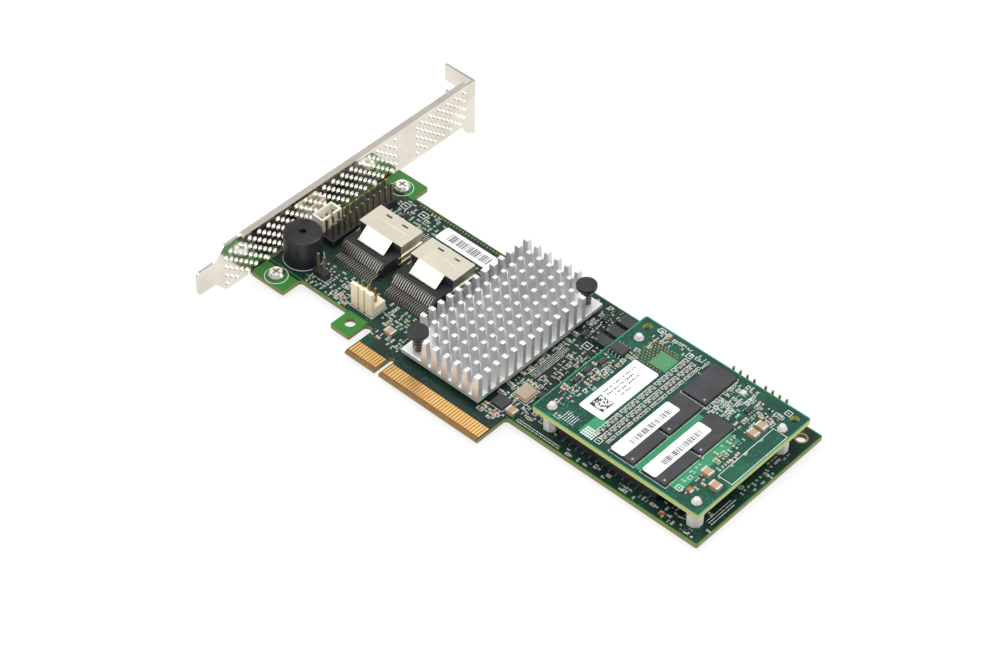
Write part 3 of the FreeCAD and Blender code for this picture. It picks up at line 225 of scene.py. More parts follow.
def circuit_board(name, mask, plane, bare, edge, margin, run_length, run_pitch, bright_areas, open_areas=()):
    """Solder mask over copper: planes, bundles of traces and vias, brighter where no copper
    lies inside the laminate, and bare layered laminate at the edges."""
    f = Finish(name, mask, 0.35)
    turned = f.stretched((1, 1, 1), math.pi / 2)
    gap = run_pitch * 0.18
    along = f.bricks(run_length, run_pitch, gap)
    across = f.bricks(run_length, run_pitch, gap, turned)
    patch = f.node("SeparateColor", Color=f.cells(8.0)["Color"])
    runs = f.mix(f.step(patch.outputs[0], 0.49, 0.51), along, across)
    gaps = f.node("RGBToBW", Color=runs).outputs[0]
    routed = f.step(patch.outputs[1], 0.36, 0.38)
    glass = f.times(gaps, routed)
    top = f.mix(f.step(f.noise(16.0, 2.0), 0.35, 0.65), mask, plane)
    top = f.mix(f.times(glass, 0.85), top, bare)
    vias = f.cells(1.15, 0.7)
    busy = f.step(f.noise(6.0, 1.0), 0.45, 0.51)
    ring = f.times(f.step(vias["Distance"], 0.24, 0.19), busy)
    core = f.times(f.step(vias["Distance"], 0.10, 0.07), busy)
    top = f.mix(f.times(ring, 0.6), top, margin)
    top = f.mix(f.times(core, 0.85), top, bare)
    clear = f.times(f.inside(bright_areas), f.spread(f.noise(5.0), 0.8, 1.0))
    top = f.mix(clear, top, margin)
    if open_areas:
        weave = f.mix(f.noise(1.5), rgb(104, 72, 38), rgb(138, 98, 54))
        top = f.mix(f.inside(open_areas), top, weave)
    layers = f.noise(0.5, 4.0, f.stretched((0.15, 0.15, 1.6)))
    laminate = f.mix(f.times(layers, 0.25), edge, margin)
    f.set(Specular_IOR_Level=0.28)
    relief = f.calc("SUBTRACT", f.plus(f.times(f.noise(1.2), 0.3), ring), glass)
    return f.done((f.facing_up(), laminate, top), (f.noise(3.0), 0.28, 0.44), (relief, 0.03, 0.45))


def sheet_metal(name, base, roughness, grain, depth=0.004, dull=None):
    """Plated or rolled metal, with a faint grain along one axis and handling marks."""
    f = Finish(name, base, roughness, 1.0)
    lines = f.noise(0.5, 5.0, f.stretched(grain))
    smudge = f.noise(14.0, 3.0)
    gloss = f.plus(f.spread(smudge, roughness * 0.6, roughness * 1.5), f.spread(lines, -0.02, 0.03))
    f.set(Base_Color=f.mix(f.step(smudge, 0.35, 0.75), base, dull or base), Roughness=gloss)
    f.bump(lines, depth, 0.3)
    return f.material


def sawn_aluminium():
    """Heat-sink aluminium: saw lines across the fins, tumbled softer at the corners. Level faces are painted
    near white as a painted highlight, and upright faces a darker grey as painted shade.
    """
    f = Finish("sawn_aluminium", rgb(228, 228, 230), 0.42, 0.8)
    saw = f.noise(0.35, 4.0, f.stretched((0.06, 1, 1)))
    pits = f.noise(0.9, 4.0)
    cloud = f.noise(9.0, 2.0)
    tone = f.mix(f.step(cloud, 0.3, 0.7), rgb(214, 214, 216), rgb(228, 228, 229))
    # painted shade: upright faces keep the darker random tone, with the saw lines darker still
    side = f.mix(f.times(saw, 0.25), tone, rgb(178, 179, 182))
    # painted highlight: level faces painted near white, broken only by the pits
    top = f.mix(f.spread(pits, 0, 0.3), rgb(252, 252, 252), tone)
    relief = f.plus(saw, f.times(pits, 0.6))
    # facing_up puts the painted highlight on level faces and the painted shade on upright ones
    return f.done((f.facing_up(), side, top), (pits, 0.32, 0.55), (relief, 0.02, 0.4))


def moulded(name, base, roughness, grain=0.5, depth=0.01, tint=None, shine=0.5):
    """Injection-moulded plastic: fine spark texture, soft flow marks and uneven gloss."""
    f = Finish(name, base, roughness)
    f.set(Specular_IOR_Level=shine)
    spark = f.noise(grain, 5.0)
    flow = f.noise(6.0, 2.0)
    if tint:
        look = (f.step(flow, 0.35, 0.7), base, tint)
    else:
        look = (f.spread(spark, 0.0, 0.6), base, shade(base, 1.25, 0.002))
    return f.done(look, (flow, roughness - 0.08, roughness + 0.10), (spark, depth, 0.5))


def ceramic(name, base, dark):
    """Fired ceramic with faint speckle."""
    f = Finish(name, base, 0.45)
    return f.done((f.noise(0.4, 4.0), base, dark), (f.noise(0.8), 0.35, 0.55), (f.noise(0.2), 0.008, 0.4))


def solder(name, base, roughness):
    """Tin or solder: bright, slightly grainy."""
    f = Finish(name, base, roughness, 1.0)
    grain = f.noise(0.25, 4.0)
    look = (f.spread(grain, 0.0, 0.4), base, shade(base, 0.7))
    return f.done(look, (grain, roughness * 0.7, roughness * 1.4), (grain, 0.02, 0.4))


def gold_plate(name, base):
    """Gold over nickel, rubbed paler here and there."""
    f = Finish(name, base, 0.28, 1.0)
    rub = f.noise(2.2, 3.0, f.stretched((1, 0.25, 1)))
    look = (f.step(rub, 0.4, 0.7), base, shade(base, 1.18, 0.01))
    return f.done(look, (rub, 0.30, 0.44), (f.noise(0.3), 0.005, 0.4))


def paper(name, base):
    """Coated label paper."""
    f = Finish(name, base, 0.5)
    fibre = f.noise(0.35, 5.0)
    look = (f.spread(fibre, 0.0, 0.25), base, rgb(216, 217, 218))
    return f.done(look, (fibre, 0.4, 0.6), (f.noise(4.0, 2.0), 0.05, 0.3))


def ink(name, base, roughness=0.5):
    """Screen-printed ink with a slightly broken edge."""
    f = Finish(name, base, roughness)
    speck = f.noise(0.12, 3.0)
    look = (f.spread(speck, 0.0, 0.3), base, shade(base, 0.75))
    return f.done(look, (speck, roughness - 0.05, roughness + 0.1), (speck, 0.004, 0.3))


def nylon():
    """Natural nylon, milky and slightly see-through."""
    f = Finish("natural_nylon", rgb(226, 226, 218), 0.35)
    f.set(Subsurface_Weight=0.4, Subsurface_Scale=0.002, Transmission_Weight=0.15)
    look = (f.noise(2.0), rgb(232, 232, 225), rgb(206, 207, 198))
    return f.done(look, (f.noise(0.8), 0.3, 0.45), (f.noise(0.5), 0.02, 0.3))


board_low, board_high = span("main_board")
cache_low, cache_high = span("cache_board")
deck = board_high.z
cache_deck = cache_high.z
EAR_WIDTH = 13.4
EAR_DEPTH = 9.6
TAB = (-23.6, 5.0, -15.9, 13.2)
FRONT_EDGE = 12.5
TONGUE_RIGHT = 39.6
EDGE_BAND = 0.4


def bright_areas():
    """Where the main board has no copper planes: the ears, the tab and a band along the edges."""
    left, top = board_low.x, board_high.y
    near = board_low.y + 5.0
    return (
        (left, near, left + EAR_WIDTH, near + EAR_DEPTH - 3.0),
        (left, top - EAR_DEPTH + 2.2, left + EAR_WIDTH, top),
        TAB,
        (left, board_low.y, left + EDGE_BAND, top),
        (left, top - 6.4 - EDGE_BAND, 0.0, top),
        (0.0, top - EDGE_BAND, board_high.x, top),
        (board_high.x - EDGE_BAND, board_low.y, board_high.x, top),
        (TONGUE_RIGHT, FRONT_EDGE, board_high.x, FRONT_EDGE + EDGE_BAND),
        (left, FRONT_EDGE, TAB[2], FRONT_EDGE + EDGE_BAND),
    )


def finger_areas():
    """The unmasked laminate between the edge contacts."""
    a, b = span("edge_contacts")
    return ((a.x - 0.1, board_low.y, b.x + 0.1, b.y),)


def cache_clearings():
    """The brighter copper-free strips of the cache board."""
    left, front = cache_low.x, cache_low.y
    right, back = cache_high.x, cache_high.y
    return (
        (left, front, left + EDGE_BAND, back),
        (left, front, right, front + EDGE_BAND),
        (right - EDGE_BAND, front, right, back),
        (left, back - EDGE_BAND, right, back),
        (left + 36.2, front + 2.0, left + 38.4, front + 30.0),
        (left + 47.4, front + 3.4, left + 51.4, front + 30.0),
        (left + 16.0, front + 2.0, left + 20.0, front + 10.0),
        (left + 12.8, front + 36.0, left + 19.0, front + 42.2),
    )


FINISH = {"sawn_aluminium": sawn_aluminium(), "natural_nylon": nylon()}
for make, rows in (
    (circuit_board, (
        ("main_green", rgb(18, 40, 35), rgb(27, 58, 47), rgb(10, 25, 23), rgb(128, 118, 66),
         rgb(54, 122, 50), 9.0, 0.55, bright_areas(), finger_areas()),
        ("cache_green", rgb(22, 62, 54), rgb(32, 86, 68), rgb(13, 42, 38), rgb(186, 180, 98),
         rgb(60, 146, 104), 8.0, 0.5, cache_clearings()),
    )),
    (sheet_metal, (
        ("nickel", rgb(232, 226, 214), 0.11, (1, 0.05, 1), 0.004, rgb(212, 205, 192)),
        ("zinc", rgb(214, 214, 212), 0.22, (1, 1, 0.2)),
        ("spring_steel", rgb(104, 98, 92), 0.3, (1, 1, 0.2)),
        ("shell_tin", rgb(248, 240, 224), 0.36, (0.06, 1, 1), 0.006, rgb(232, 223, 204)),
        ("lid_tin", rgb(200, 182, 160), 0.36, (1, 0.06, 1), 0.006, rgb(200, 176, 156)),
    )),
    (moulded, (
        ("black_moulding", rgb(30, 30, 33), 0.42, 0.5, 0.012, rgb(38, 38, 42)),
        ("connector_black", rgb(34, 34, 38), 0.38, 0.35, 0.008, rgb(42, 42, 48)),
        ("chip_black", rgb(48, 48, 52), 0.5, 0.25, 0.01, rgb(58, 58, 62)),
        ("cream_nylon", rgb(226, 214, 184), 0.5, 0.6, 0.01, rgb(216, 202, 170)),
        ("pad_grey", rgb(150, 150, 155), 0.8, 0.6, 0.02),
        ("buzzer_black", rgb(26, 26, 30), 0.36, 0.5, 0.012, rgb(38, 38, 42), 0.45),
        ("ivory_nylon", rgb(250, 246, 236), 0.5, 0.6, 0.01, rgb(240, 234, 220)),
    )),
    (gold_plate, (
        ("contact_gold", rgb(250, 198, 126)),
        ("post_gold", rgb(168, 150, 112)),
        ("via_gold", rgb(176, 146, 104)),
    )),
    (solder, (
        ("lead_tin", rgb(160, 157, 150), 0.34),
        ("bright_tin", rgb(200, 200, 198), 0.3),
        ("solder_cap", rgb(226, 225, 220), 0.42),
    )),
    (ceramic, (
        ("tan_ceramic", rgb(188, 158, 128), rgb(156, 126, 98)),
        ("grey_ceramic", rgb(112, 104, 92), rgb(84, 78, 70)),
        ("resistor_glaze", rgb(30, 30, 34), rgb(44, 44, 50)),
        ("white_ceramic", rgb(206, 208, 204), rgb(176, 178, 176)),
    )),
    (paper, (("label_paper", rgb(236, 237, 237)),)),
    (ink, (
        ("label_ink", rgb(34, 34, 38)),
        ("board_legend", rgb(234, 240, 234)),
        ("etched_copper", rgb(160, 86, 58), 0.4),
    )),
):
    for row in rows:
        FINISH[row[0]] = make(*row)


# --- meshes

SILK_THICKNESS = 0.02
SAME_SPOT = 0.002 * MM
LEVEL_WITH = math.radians(1)


def circle(x, y, radius, sides):
    """Points evenly round a centre."""
    turns = [math.tau * i / sides for i in range(sides)]
    return [(x + radius * math.cos(turn), y + radius * math.sin(turn)) for turn in turns]


class Shape:
    """Points and faces of one piece, gathered in millimetres."""

    def __init__(self):
        self.points = []
        self.faces = []
        self.finish = []

    def rings(self, rings, finish=0, closed=False):
        """Skin between rings of points: flat at both ends, or closed from the last to the first."""
        start, size, count = len(self.points), len(rings[0]), len(rings)
        for ring in rings:
            self.points += [Vector(p) for p in ring]
        for level in range(count if closed else count - 1):
            here = start + level * size
            there = start + (level + 1) % count * size
            for i in range(size):
                j = (i + 1) % size
                self.faces.append((here + i, here + j, there + j, there + i))
        if not closed:
            top = start + (count - 1) * size
            self.faces.append(tuple(start + i for i in reversed(range(size))))
            self.faces.append(tuple(top + i for i in range(size)))
        self.finish += [finish] * (len(self.faces) - len(self.finish))

    def box(self, low, high, finish=0, turn=0.0, inset=0.0):
        """A block, turned about its own upright axis, drawn in at the top by inset."""
        x0, y0, z0 = low
        x1, y1, z1 = high
        middle = Vector(((x0 + x1) / 2, (y0 + y1) / 2, 0))
        spin = Matrix.Rotation(turn, 3, "Z")
        rings = []
        for z, cut in ((z0, 0.0), (z1, inset)):
            ring = []
            for x, y in ((x0, y0), (x1, y0), (x1, y1), (x0, y1)):
                x += cut if x == x0 else -cut
                y += cut if y == y0 else -cut
                at = spin @ (Vector((x, y, 0)) - middle) + middle
                ring.append((at.x, at.y, z))
            rings.append(ring)
        self.rings(rings, finish)

    def bar(self, x, y, along, across, heights, finish=0, upright=False):
        """A block by its spans from x, y: along X and across it, or along Y when upright."""
        if upright:
            along, across = across, along
        (x0, x1), (y0, y1), (z0, z1) = along, across, heights
        self.box((x + x0, y + y0, z0), (x + x1, y + y1, z1), finish)

    def lathe(self, centre, profile, sides, closed=False):
        """profile is a list of (radius, height), turned about an upright axis at centre."""
        x, y, z = centre
        rings = [[(*p, z + height) for p in circle(x, y, radius, sides)] for radius, height in profile]
        self.rings(rings, 0, closed)

    def printed_ring(self, x, y, inner, outer, level, sides=40):
        """A flat ring of printed thickness."""
        top = level + SILK_THICKNESS
        self.lathe((x, y, 0), ((inner, level), (outer, level), (outer, top), (inner, top)), sides, True)

    def mesh(self, name):
        mesh = bpy.data.meshes.new(name)
        mesh.from_pydata([p * MM for p in self.points], [], self.faces)
        return mesh

    def make(self, name, finishes, slot, bevel=0.0, smooth=False):
        """The piece as an object on the card's body."""
        mesh = self.mesh(name)
        for finish in finishes:
            mesh.materials.append(FINISH[finish])
        mesh.polygons.foreach_set("material_index", self.finish)
        mesh.validate()
        repair = bmesh.new()
        repair.from_mesh(mesh)
        bmesh.ops.recalc_face_normals(repair, faces=repair.faces)
        repair.to_mesh(mesh)
        repair.free()
        return dress(bpy.data.objects.new(name, mesh), bevel, smooth)


def dress(piece, bevel, smooth, angle=35.0):
    """Soften a piece's edges, link it and let it ride on the card."""
    link(piece)
    if bevel:
        edge = piece.modifiers.new("soft_edges", "BEVEL")
        edge.width = bevel * MM
        edge.segments = 2
        edge.limit_method = "ANGLE"
        edge.angle_limit = math.radians(angle)
        edge.harden_normals = True
        edge.use_clamp_overlap = True
    if bevel or smooth:
        piece.data.shade_smooth()
        piece.data.set_sharp_from_angle(angle=math.radians(angle))
    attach(piece, "root")
    return piece


def solid_mesh(node, name, finish, joined=True):
    """A copy of a CAD node's mesh, with its flat faces joined up."""
    work = bmesh.new()
    work.from_mesh(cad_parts[node].data)
    bmesh.ops.remove_doubles(work, verts=work.verts, dist=SAME_SPOT)
    if joined:
        bmesh.ops.dissolve_limit(work, angle_limit=LEVEL_WITH, verts=work.verts, edges=work.edges)
    bmesh.ops.recalc_face_normals(work, faces=work.faces)
    mesh = bpy.data.meshes.new(name)
    work.to_mesh(mesh)
    work.free()
    mesh.materials.append(FINISH[finish])
    return mesh


def from_solid(node, name, finish, bevel, angle=28.0):
    """A CAD solid's own shape with its finish on and its edges softened."""
    mesh = solid_mesh(node, name, finish)
    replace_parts(dress(bpy.data.objects.new(name, mesh), bevel, True, angle), node)


# --- the two boards

from_solid("main_board", "main_board_body", "main_green", 0.06)
from_solid("cache_board", "cache_board_body", "cache_green", 0.06)
from_solid("edge_contacts", "edge_contact_fingers", "contact_gold", 0.01)

# --- the bracket

VENT_DIAMETER = 1.78
VENT_COLUMN_PITCH = 3.9
VENT_ROW_PITCH = 1.65
VENT_ROWS = 8
VENT_FIRST_ROW = 2.6
VENT_ZONES = ((-4.1, 19), (77.9, 6))
VENT_SIDES = 24
DRILL_ENDS = (-60.0, -55.0)


def vent_drills():
    """Round drills through every vent of the bracket."""
    shape = Shape()
    for start, columns in VENT_ZONES:
        for row in range(VENT_ROWS):
            shift = VENT_COLUMN_PITCH / 2 * (row % 2)
            z = VENT_FIRST_ROW + VENT_ROW_PITCH * row
            for column in range(columns):
                y = start + shift + VENT_COLUMN_PITCH * column
                hole = circle(y, z, VENT_DIAMETER / 2, VENT_SIDES)
                shape.rings([[(x, *p) for p in hole] for x in DRILL_ENDS])
    return shape.mesh("vent_drills")


def drilled_bracket():
    """The bracket's sheet with its vents drilled round."""
    name = "bracket_sheet"
    piece = bpy.data.objects.new(name, solid_mesh("bracket", name, "nickel", False))
    drills = bpy.data.objects.new("vent_drills", vent_drills())
    link(piece)
    link(drills)
    cut = piece.modifiers.new("vents", "BOOLEAN")
    cut.operation = "DIFFERENCE"
    cut.solver = "EXACT"
    cut.object = drills
    bpy.context.view_layer.update()
    done = bpy.data.meshes.new_from_object(piece.evaluated_get(bpy.context.evaluated_depsgraph_get()))
    bpy.data.objects.remove(piece)
    bpy.data.objects.remove(drills)
    done.name = name
    work = bmesh.new()
    work.from_mesh(done)
    bmesh.ops.dissolve_limit(work, angle_limit=LEVEL_WITH, verts=work.verts, edges=work.edges)
    work.to_mesh(done)
    work.free()
    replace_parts(dress(bpy.data.objects.new(name, done), 0.05, True, 30), "bracket")


drilled_bracket()
from_solid("bracket_screws", "bracket_pan_screws", "zinc", 0.08, 30)

# --- the heat sink

PIN_INSET = (3.9, 3.1)
sink_low, sink_high = span("heat_sink")
push_pin_places = (
    (sink_low.x + PIN_INSET[0], sink_low.y + PIN_INSET[1]),
    (sink_high.x - PIN_INSET[0], sink_high.y - PIN_INSET[1]),
)

from_solid("heat_sink", "heat_sink_fins", "sawn_aluminium", 0.10, 30)
from_solid("push_pins", "push_pin_bodies", "black_moulding", 0.1, 30)


def coil_springs():
    """The push pins' round-wire springs, as their solids lie."""
    wire, coil, turns = 0.25, 1.4, 5
    steps = turns * 24
    base = low("push_pin_springs").z
    rise = high("push_pin_springs").z - base - 2 * wire
    for number, (x, y) in enumerate(push_pin_places, start=1):
        name = f"push_pin_coil_{number}"
        curve = bpy.data.curves.new(name, "CURVE")
        curve.dimensions = "3D"
        curve.bevel_depth = wire * MM
        curve.bevel_resolution = 3
        curve.use_fill_caps = True
        line = curve.splines.new("POLY")
        line.points.add(steps)
        for i in range(steps + 1):
            angle = math.tau * turns * i / steps
            spot = (x + coil * math.cos(angle), y + coil * math.sin(angle), base + wire + rise * i / steps)
            line.points[i].co = (*(value * MM for value in spot), 1)
        curve.materials.append(FINISH["spring_steel"])
        piece = bpy.data.objects.new(name, curve)
        link(piece)
        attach(piece, "root")
        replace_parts(piece, "push_pin_springs")


coil_springs()
from_solid("thermal_pad", "thermal_pad_sheet", "pad_grey", 0.03)
from_solid("controller_chip", "controller_package", "chip_black", 0.05)

# --- sockets, headers and small parts

for side in ("1", "2"):
    from_solid(f"sas_housing_{side}", f"socket_housing_{side}", "connector_black", 0.06)
    from_solid(f"sas_shell_{side}", f"socket_shell_{side}", "shell_tin", 0.05)
    from_solid(f"sas_contacts_{side}", f"socket_leads_{side}", "lead_tin", 0.02)
    from_solid(f"rear_header_{side}_base", f"rear_strip_{side}", "black_moulding", 0.06)
    from_solid(f"rear_header_{side}_pins", f"rear_posts_{side}", "post_gold", 0.05)

from_solid("buzzer", "buzzer_can", "buzzer_black", 0.12, 30)
for header in ("double_header", "row_header", "jumper_header"):
    from_solid(f"{header}_base", f"{header}_strip", "black_moulding", 0.08)
    from_solid(f"{header}_pins", f"{header}_posts", "post_gold", 0.05)
for header, plastic in (("key_header", "ivory_nylon"), ("lock_header", "cream_nylon")):
    from_solid(f"{header}_housing", f"{header}_shroud", plastic, 0.1)
    from_solid(f"{header}_pins", f"{header}_posts", "post_gold", 0.05)

for number in range(1, 6):
    from_solid(f"memory_chip_{number}", f"memory_package_{number}", "chip_black", 0.06)
for number in range(1, 4):
    from_solid(f"regulator_chip_{number}", f"regulator_package_{number}", "chip_black", 0.05)
from_solid("clock_buffer_chip", "clock_buffer_package", "chip_black", 0.05)
from_solid("supervisor_chip", "supervisor_package", "chip_black", 0.05)
from_solid("supervisor_leads", "supervisor_gull_leads", "bright_tin", 0.02)
from_solid("oscillator", "oscillator_can", "lid_tin", 0.06)
from_solid("board_capacitors", "board_capacitor_blocks", "tan_ceramic", 0.06)
from_solid("cache_capacitors", "cache_capacitor_blocks", "tan_ceramic", 0.06)


def round_cornered_label(node, name, radius=0.8):
    """Die-cut label paper over its solid."""
    a, b = span(node)
    outline = []
    for x, y, turn in (
        (b.x - radius, b.y - radius, 0), (a.x + radius, b.y - radius, 1),
        (a.x + radius, a.y + radius, 2), (b.x - radius, a.y + radius, 3),
    ):
        for step in range(9):
            angle = math.pi / 2 * (turn + step / 8)
            outline.append((x + radius * math.cos(angle), y + radius * math.sin(angle)))
    shape = Shape()
    shape.rings([[(x, y, z) for x, y in outline] for z in (a.z, b.z)])
    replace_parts(shape.make(name, ("label_paper",), "label_paper"), node)


for label in ("board_label", "cache_label", "chip_label_1", "chip_label_2"):
    round_cornered_label(label, f"{label}_paper")
from_solid("standoffs", "nylon_standoffs", "natural_nylon", 0.15, 40)
from_solid("stack_plug", "stack_plug_body", "connector_black", 0.06)
from_solid("stack_socket", "stack_socket_body", "connector_black", 0.06)
from_solid("stack_contacts", "stack_contact_feet", "bright_tin", 0.02)


# --- what covers the boards

KINDS = {
    # length, width, height, body, how much of the length each end takes
    "c0402": (1.0, 0.5, 0.45, "tan_ceramic", 0.24),
    "r0402": (1.0, 0.5, 0.32, "resistor_glaze", 0.22),
    "c0603": (1.6, 0.8, 0.75, "tan_ceramic", 0.22),
    "r0603": (1.6, 0.8, 0.42, "resistor_glaze", 0.20),
    "g0603": (1.6, 0.8, 0.7, "grey_ceramic", 0.22),
    "pads": (1.0, 0.55, 0.06, None, 0.32),
}
PART_FINISHES = ("solder_cap", "tan_ceramic", "resistor_glaze", "grey_ceramic", "chip_black", "white_ceramic")
SMALL = ("c0402", "r0402", "c0402", "pads")
MIXED = ("c0402", "r0402", "c0603", "r0603", "g0603")


def square(x, y, half):
    return (x - half, y - half, x + half, y + half)


def grown(area, by):
    x0, y0, x1, y1 = area
    return (x0 - by, y0 - by, x1 + by, y1 + by)


def chip_part(shape, kind, x, y, floor, upright):
    """A two-ended chip part, lying along X, or along Y when upright."""
    length, width, height, body, share = KINDS[kind]
    end = length * share
    over = 0.02
    for start, stop, half, top, finish in (
        (-length / 2 + end * 0.9, length / 2 - end * 0.9, width / 2 - over, height - over, body),
        (-length / 2, -length / 2 + end, width / 2, height, "solder_cap"),
        (length / 2 - end, length / 2, width / 2, height, "solder_cap"),
    ):
        if finish:
            number = PART_FINISHES.index(finish)
            shape.bar(x, y, (start, stop), (-half, half), (floor, floor + top), number, upright)


def stroke(shape, x0, y0, x1, y1, floor, width):
    """A straight printed line."""
    along = Vector((x1 - x0, y1 - y0, 0))
    reach = along.length / 2
    x, y = (x0 + x1) / 2, (y0 + y1) / 2
    shape.box(
        (x - reach, y - width / 2, floor), (x + reach, y + width / 2, floor + SILK_THICKNESS),
        turn=math.atan2(along.y, along.x),
    )


def printed_frame(shape, area, floor, width=0.14):
    x0, y0, x1, y1 = area
    half = width / 2
    for ends in (
        (x0 - half, y0, x1 + half, y0), (x0 - half, y1, x1 + half, y1),
        (x0, y0 + half, x0, y1 - half), (x1, y0 + half, x1, y1 - half),
    ):
        stroke(shape, *ends, floor, width)


def printed_ticks(shape, x, y, floor, count, upright):
    """A short row of plain marks beside a part."""
    for i in range(count):
        offset = 0.42 * i
        tall = draw.choice((0.5, 0.75, 0.75))
        ends = (x, y + offset, x + tall, y + offset) if upright else (x + offset, y, x + offset, y + tall)
        stroke(shape, *ends, floor, 0.15)


def islands(node):
    """The corners of each separate solid of a node, in millimetres."""
    work = bmesh.new()
    work.from_mesh(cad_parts[node].data)
    bmesh.ops.remove_doubles(work, verts=work.verts, dist=SAME_SPOT)
    left = dict.fromkeys(work.verts)
    boxes = []
    while left:
        reached = [left.popitem()[0]]
        group = []
        while reached:
            point = reached.pop()
            group.append(point.co / MM)
            for edge in point.link_edges:
                other = edge.other_vert(point)
                if other in left:
                    del left[other]
                    reached.append(other)
        boxes.append([Vector([pick(p[i] for p in group) for i in range(3)]) for pick in (min, max)])
    work.free()
    return boxes


class Floor:
    """One face of a board: what already stands on it, and what is laid on it."""

    def __init__(self, node, level):
        self.name = node
        self.level = level
        self.parts = Shape()
        self.silk = Shape()
        self.taken = []
        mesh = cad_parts[node].data
        self.board = BVHTree.FromPolygons(
            [v.co / MM for v in mesh.vertices], [tuple(p.vertices) for p in mesh.polygons],
        )
        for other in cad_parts:
            if other.endswith("board") or other in ("edge_contacts", "bracket"):
                continue
            for base, top in islands(other):
                if base.z < level + 0.4 and top.z > level + 0.02:
                    self.claim((base.x, base.y, top.x, top.y))

    def free(self, area, gap=0.2):
        """Whether an area lies on the board and clear of everything on it."""
        x0, y0, x1, y1 = grown(area, 0.3)
        for x, y in ((x0, y0), (x1, y0), (x1, y1), (x0, y1)):
            if self.board.ray_cast(Vector((x, y, self.level + 0.5)), Vector((0, 0, -1)), 0.6)[0] is None:
                return False
        x0, y0, x1, y1 = area
        return not any(
            x0 < bx1 + gap and x1 > bx0 - gap and y0 < by1 + gap and y1 > by0 - gap
            for bx0, by0, bx1, by1 in self.taken
        )

    def claim(self, area):
        self.taken.append(area)

    def small_chip(self, x, y, width, length, height, pins, body="chip_black"):
        """A little package with leads along two sides."""
        half_x, half_y, reach = width / 2, length / 2, 0.55
        area = (x - half_x - reach, y - half_y, x + half_x + reach, y + half_y)
        if not self.free(area, 0.0):
            return
        floor = self.level
        self.parts.box(
            (x - half_x, y - half_y, floor + 0.1), (x + half_x, y + half_y, floor + height),
            PART_FINISHES.index(body), inset=0.08,
        )
        for side in (-1, 1):
            inner, outer = sorted((side * half_x, side * half_x + side * reach))
            for i in range(pins):
                at = y + (-length / 2 + length * (i + 0.5) / pins)
                self.parts.box((x + inner, at - 0.17, floor), (x + outer, at + 0.17, floor + 0.16))
        self.claim(area)

    def put(self, kind, x, y, upright=False, outlined=False, gap=0.12):
        """A chip part, if there is room for it."""
        half_x, half_y = (size / 2 for size in KINDS[kind][:2])
        if upright:
            half_x, half_y = half_y, half_x
        area = (x - half_x, y - half_y, x + half_x, y + half_y)
        if self.free(area, gap):
            chip_part(self.parts, kind, x, y, self.level, upright)
            if outlined:
                printed_frame(self.silk, grown(area, 0.22), self.level, 0.13)
            self.claim(area)

    def field(self, area, pitch, chance, kinds, ticks=0.35, outlined=0.25):
        """Chip parts on a loose grid over an area, with plain printed marks beside some."""
        x0, y0, x1, y1 = area
        for column in range(max(1, int((x1 - x0) / pitch[0]))):
            for row in range(max(1, int((y1 - y0) / pitch[1]))):
                x = x0 + pitch[0] * (column + 0.5) + draw.uniform(-0.25, 0.25)
                y = y0 + pitch[1] * (row + 0.5) + draw.uniform(-0.2, 0.2)
                wanted = draw.random() < chance
                kind = draw.choice(kinds)
                upright = draw.random() < 0.5
                lined = draw.random() < outlined
                marked = draw.random() < ticks
                if wanted:
                    self.put(kind, x, y, upright, lined)
                if marked and self.free((x + 0.9, y - 0.4, x + 2.1, y + 0.6)):
                    printed_ticks(self.silk, x + 0.95, y - 0.35, self.level, draw.randint(2, 4), upright)
                    self.claim((x + 0.95, y - 0.35, x + 1.9, y + 0.5))

    def small_print(self, area, pitch, along_y=True):
        """A block of small print shown as broken lines, with no letters."""
        x0, y0, x1, y1 = area
        across, stop = (x0, x1) if along_y else (y0, y1)
        while across < stop:
            at, end = (y0, y1) if along_y else (x0, x1)
            end -= draw.uniform(0.0, 0.25) * (end - at)
            while at < end:
                reach = min(at + draw.uniform(0.2, 0.6), end)
                ends = (across, at, across, reach) if along_y else (at, across, reach, across)
                stroke(self.silk, *ends, self.level, pitch * 0.3)
                at = reach + draw.uniform(0.15, 0.4)
            across += pitch
        self.claim(area)

    def symbol(self, x, y, half, width, bar, bar_width):
        """A framed mark with a bar in it, where a printed symbol stands on the card."""
        printed_frame(self.silk, square(x, y, half), self.level, width)
        stroke(self.silk, x - bar, y, x + bar, y, self.level, bar_width)

    def finish(self):
        self.parts.make(f"{self.name}_chip_parts", PART_FINISHES, "capacitor_tan", 0.04)
        self.silk.make(f"{self.name}_legend", ("board_legend",), "capacitor_tan")


main_floor = Floor("main_board", deck)
cache_floor = Floor("cache_board", cache_deck)


def end_caps():
    """The plated ends of the large chip capacitors."""
    shape = Shape()
    proud = 0.015
    for node in ("board_capacitors", "cache_capacitors"):
        for a, b in islands(node):
            size = b - a
            lengthwise = size.x >= size.y
            cap = 0.2 * max(size.x, size.y)
            for start in (True, False):
                x0, y0, x1, y1 = a.x - proud, a.y - proud, b.x + proud, b.y + proud
                if lengthwise:
                    x0, x1 = (x0, a.x + cap) if start else (b.x - cap, x1)
                else:
                    y0, y1 = (y0, a.y + cap) if start else (b.y - cap, y1)
                shape.box((x0, y0, a.z), (x1, y1, b.z + proud))
    shape.make("capacitor_end_caps", ("solder_cap",), "tin", 0.06)


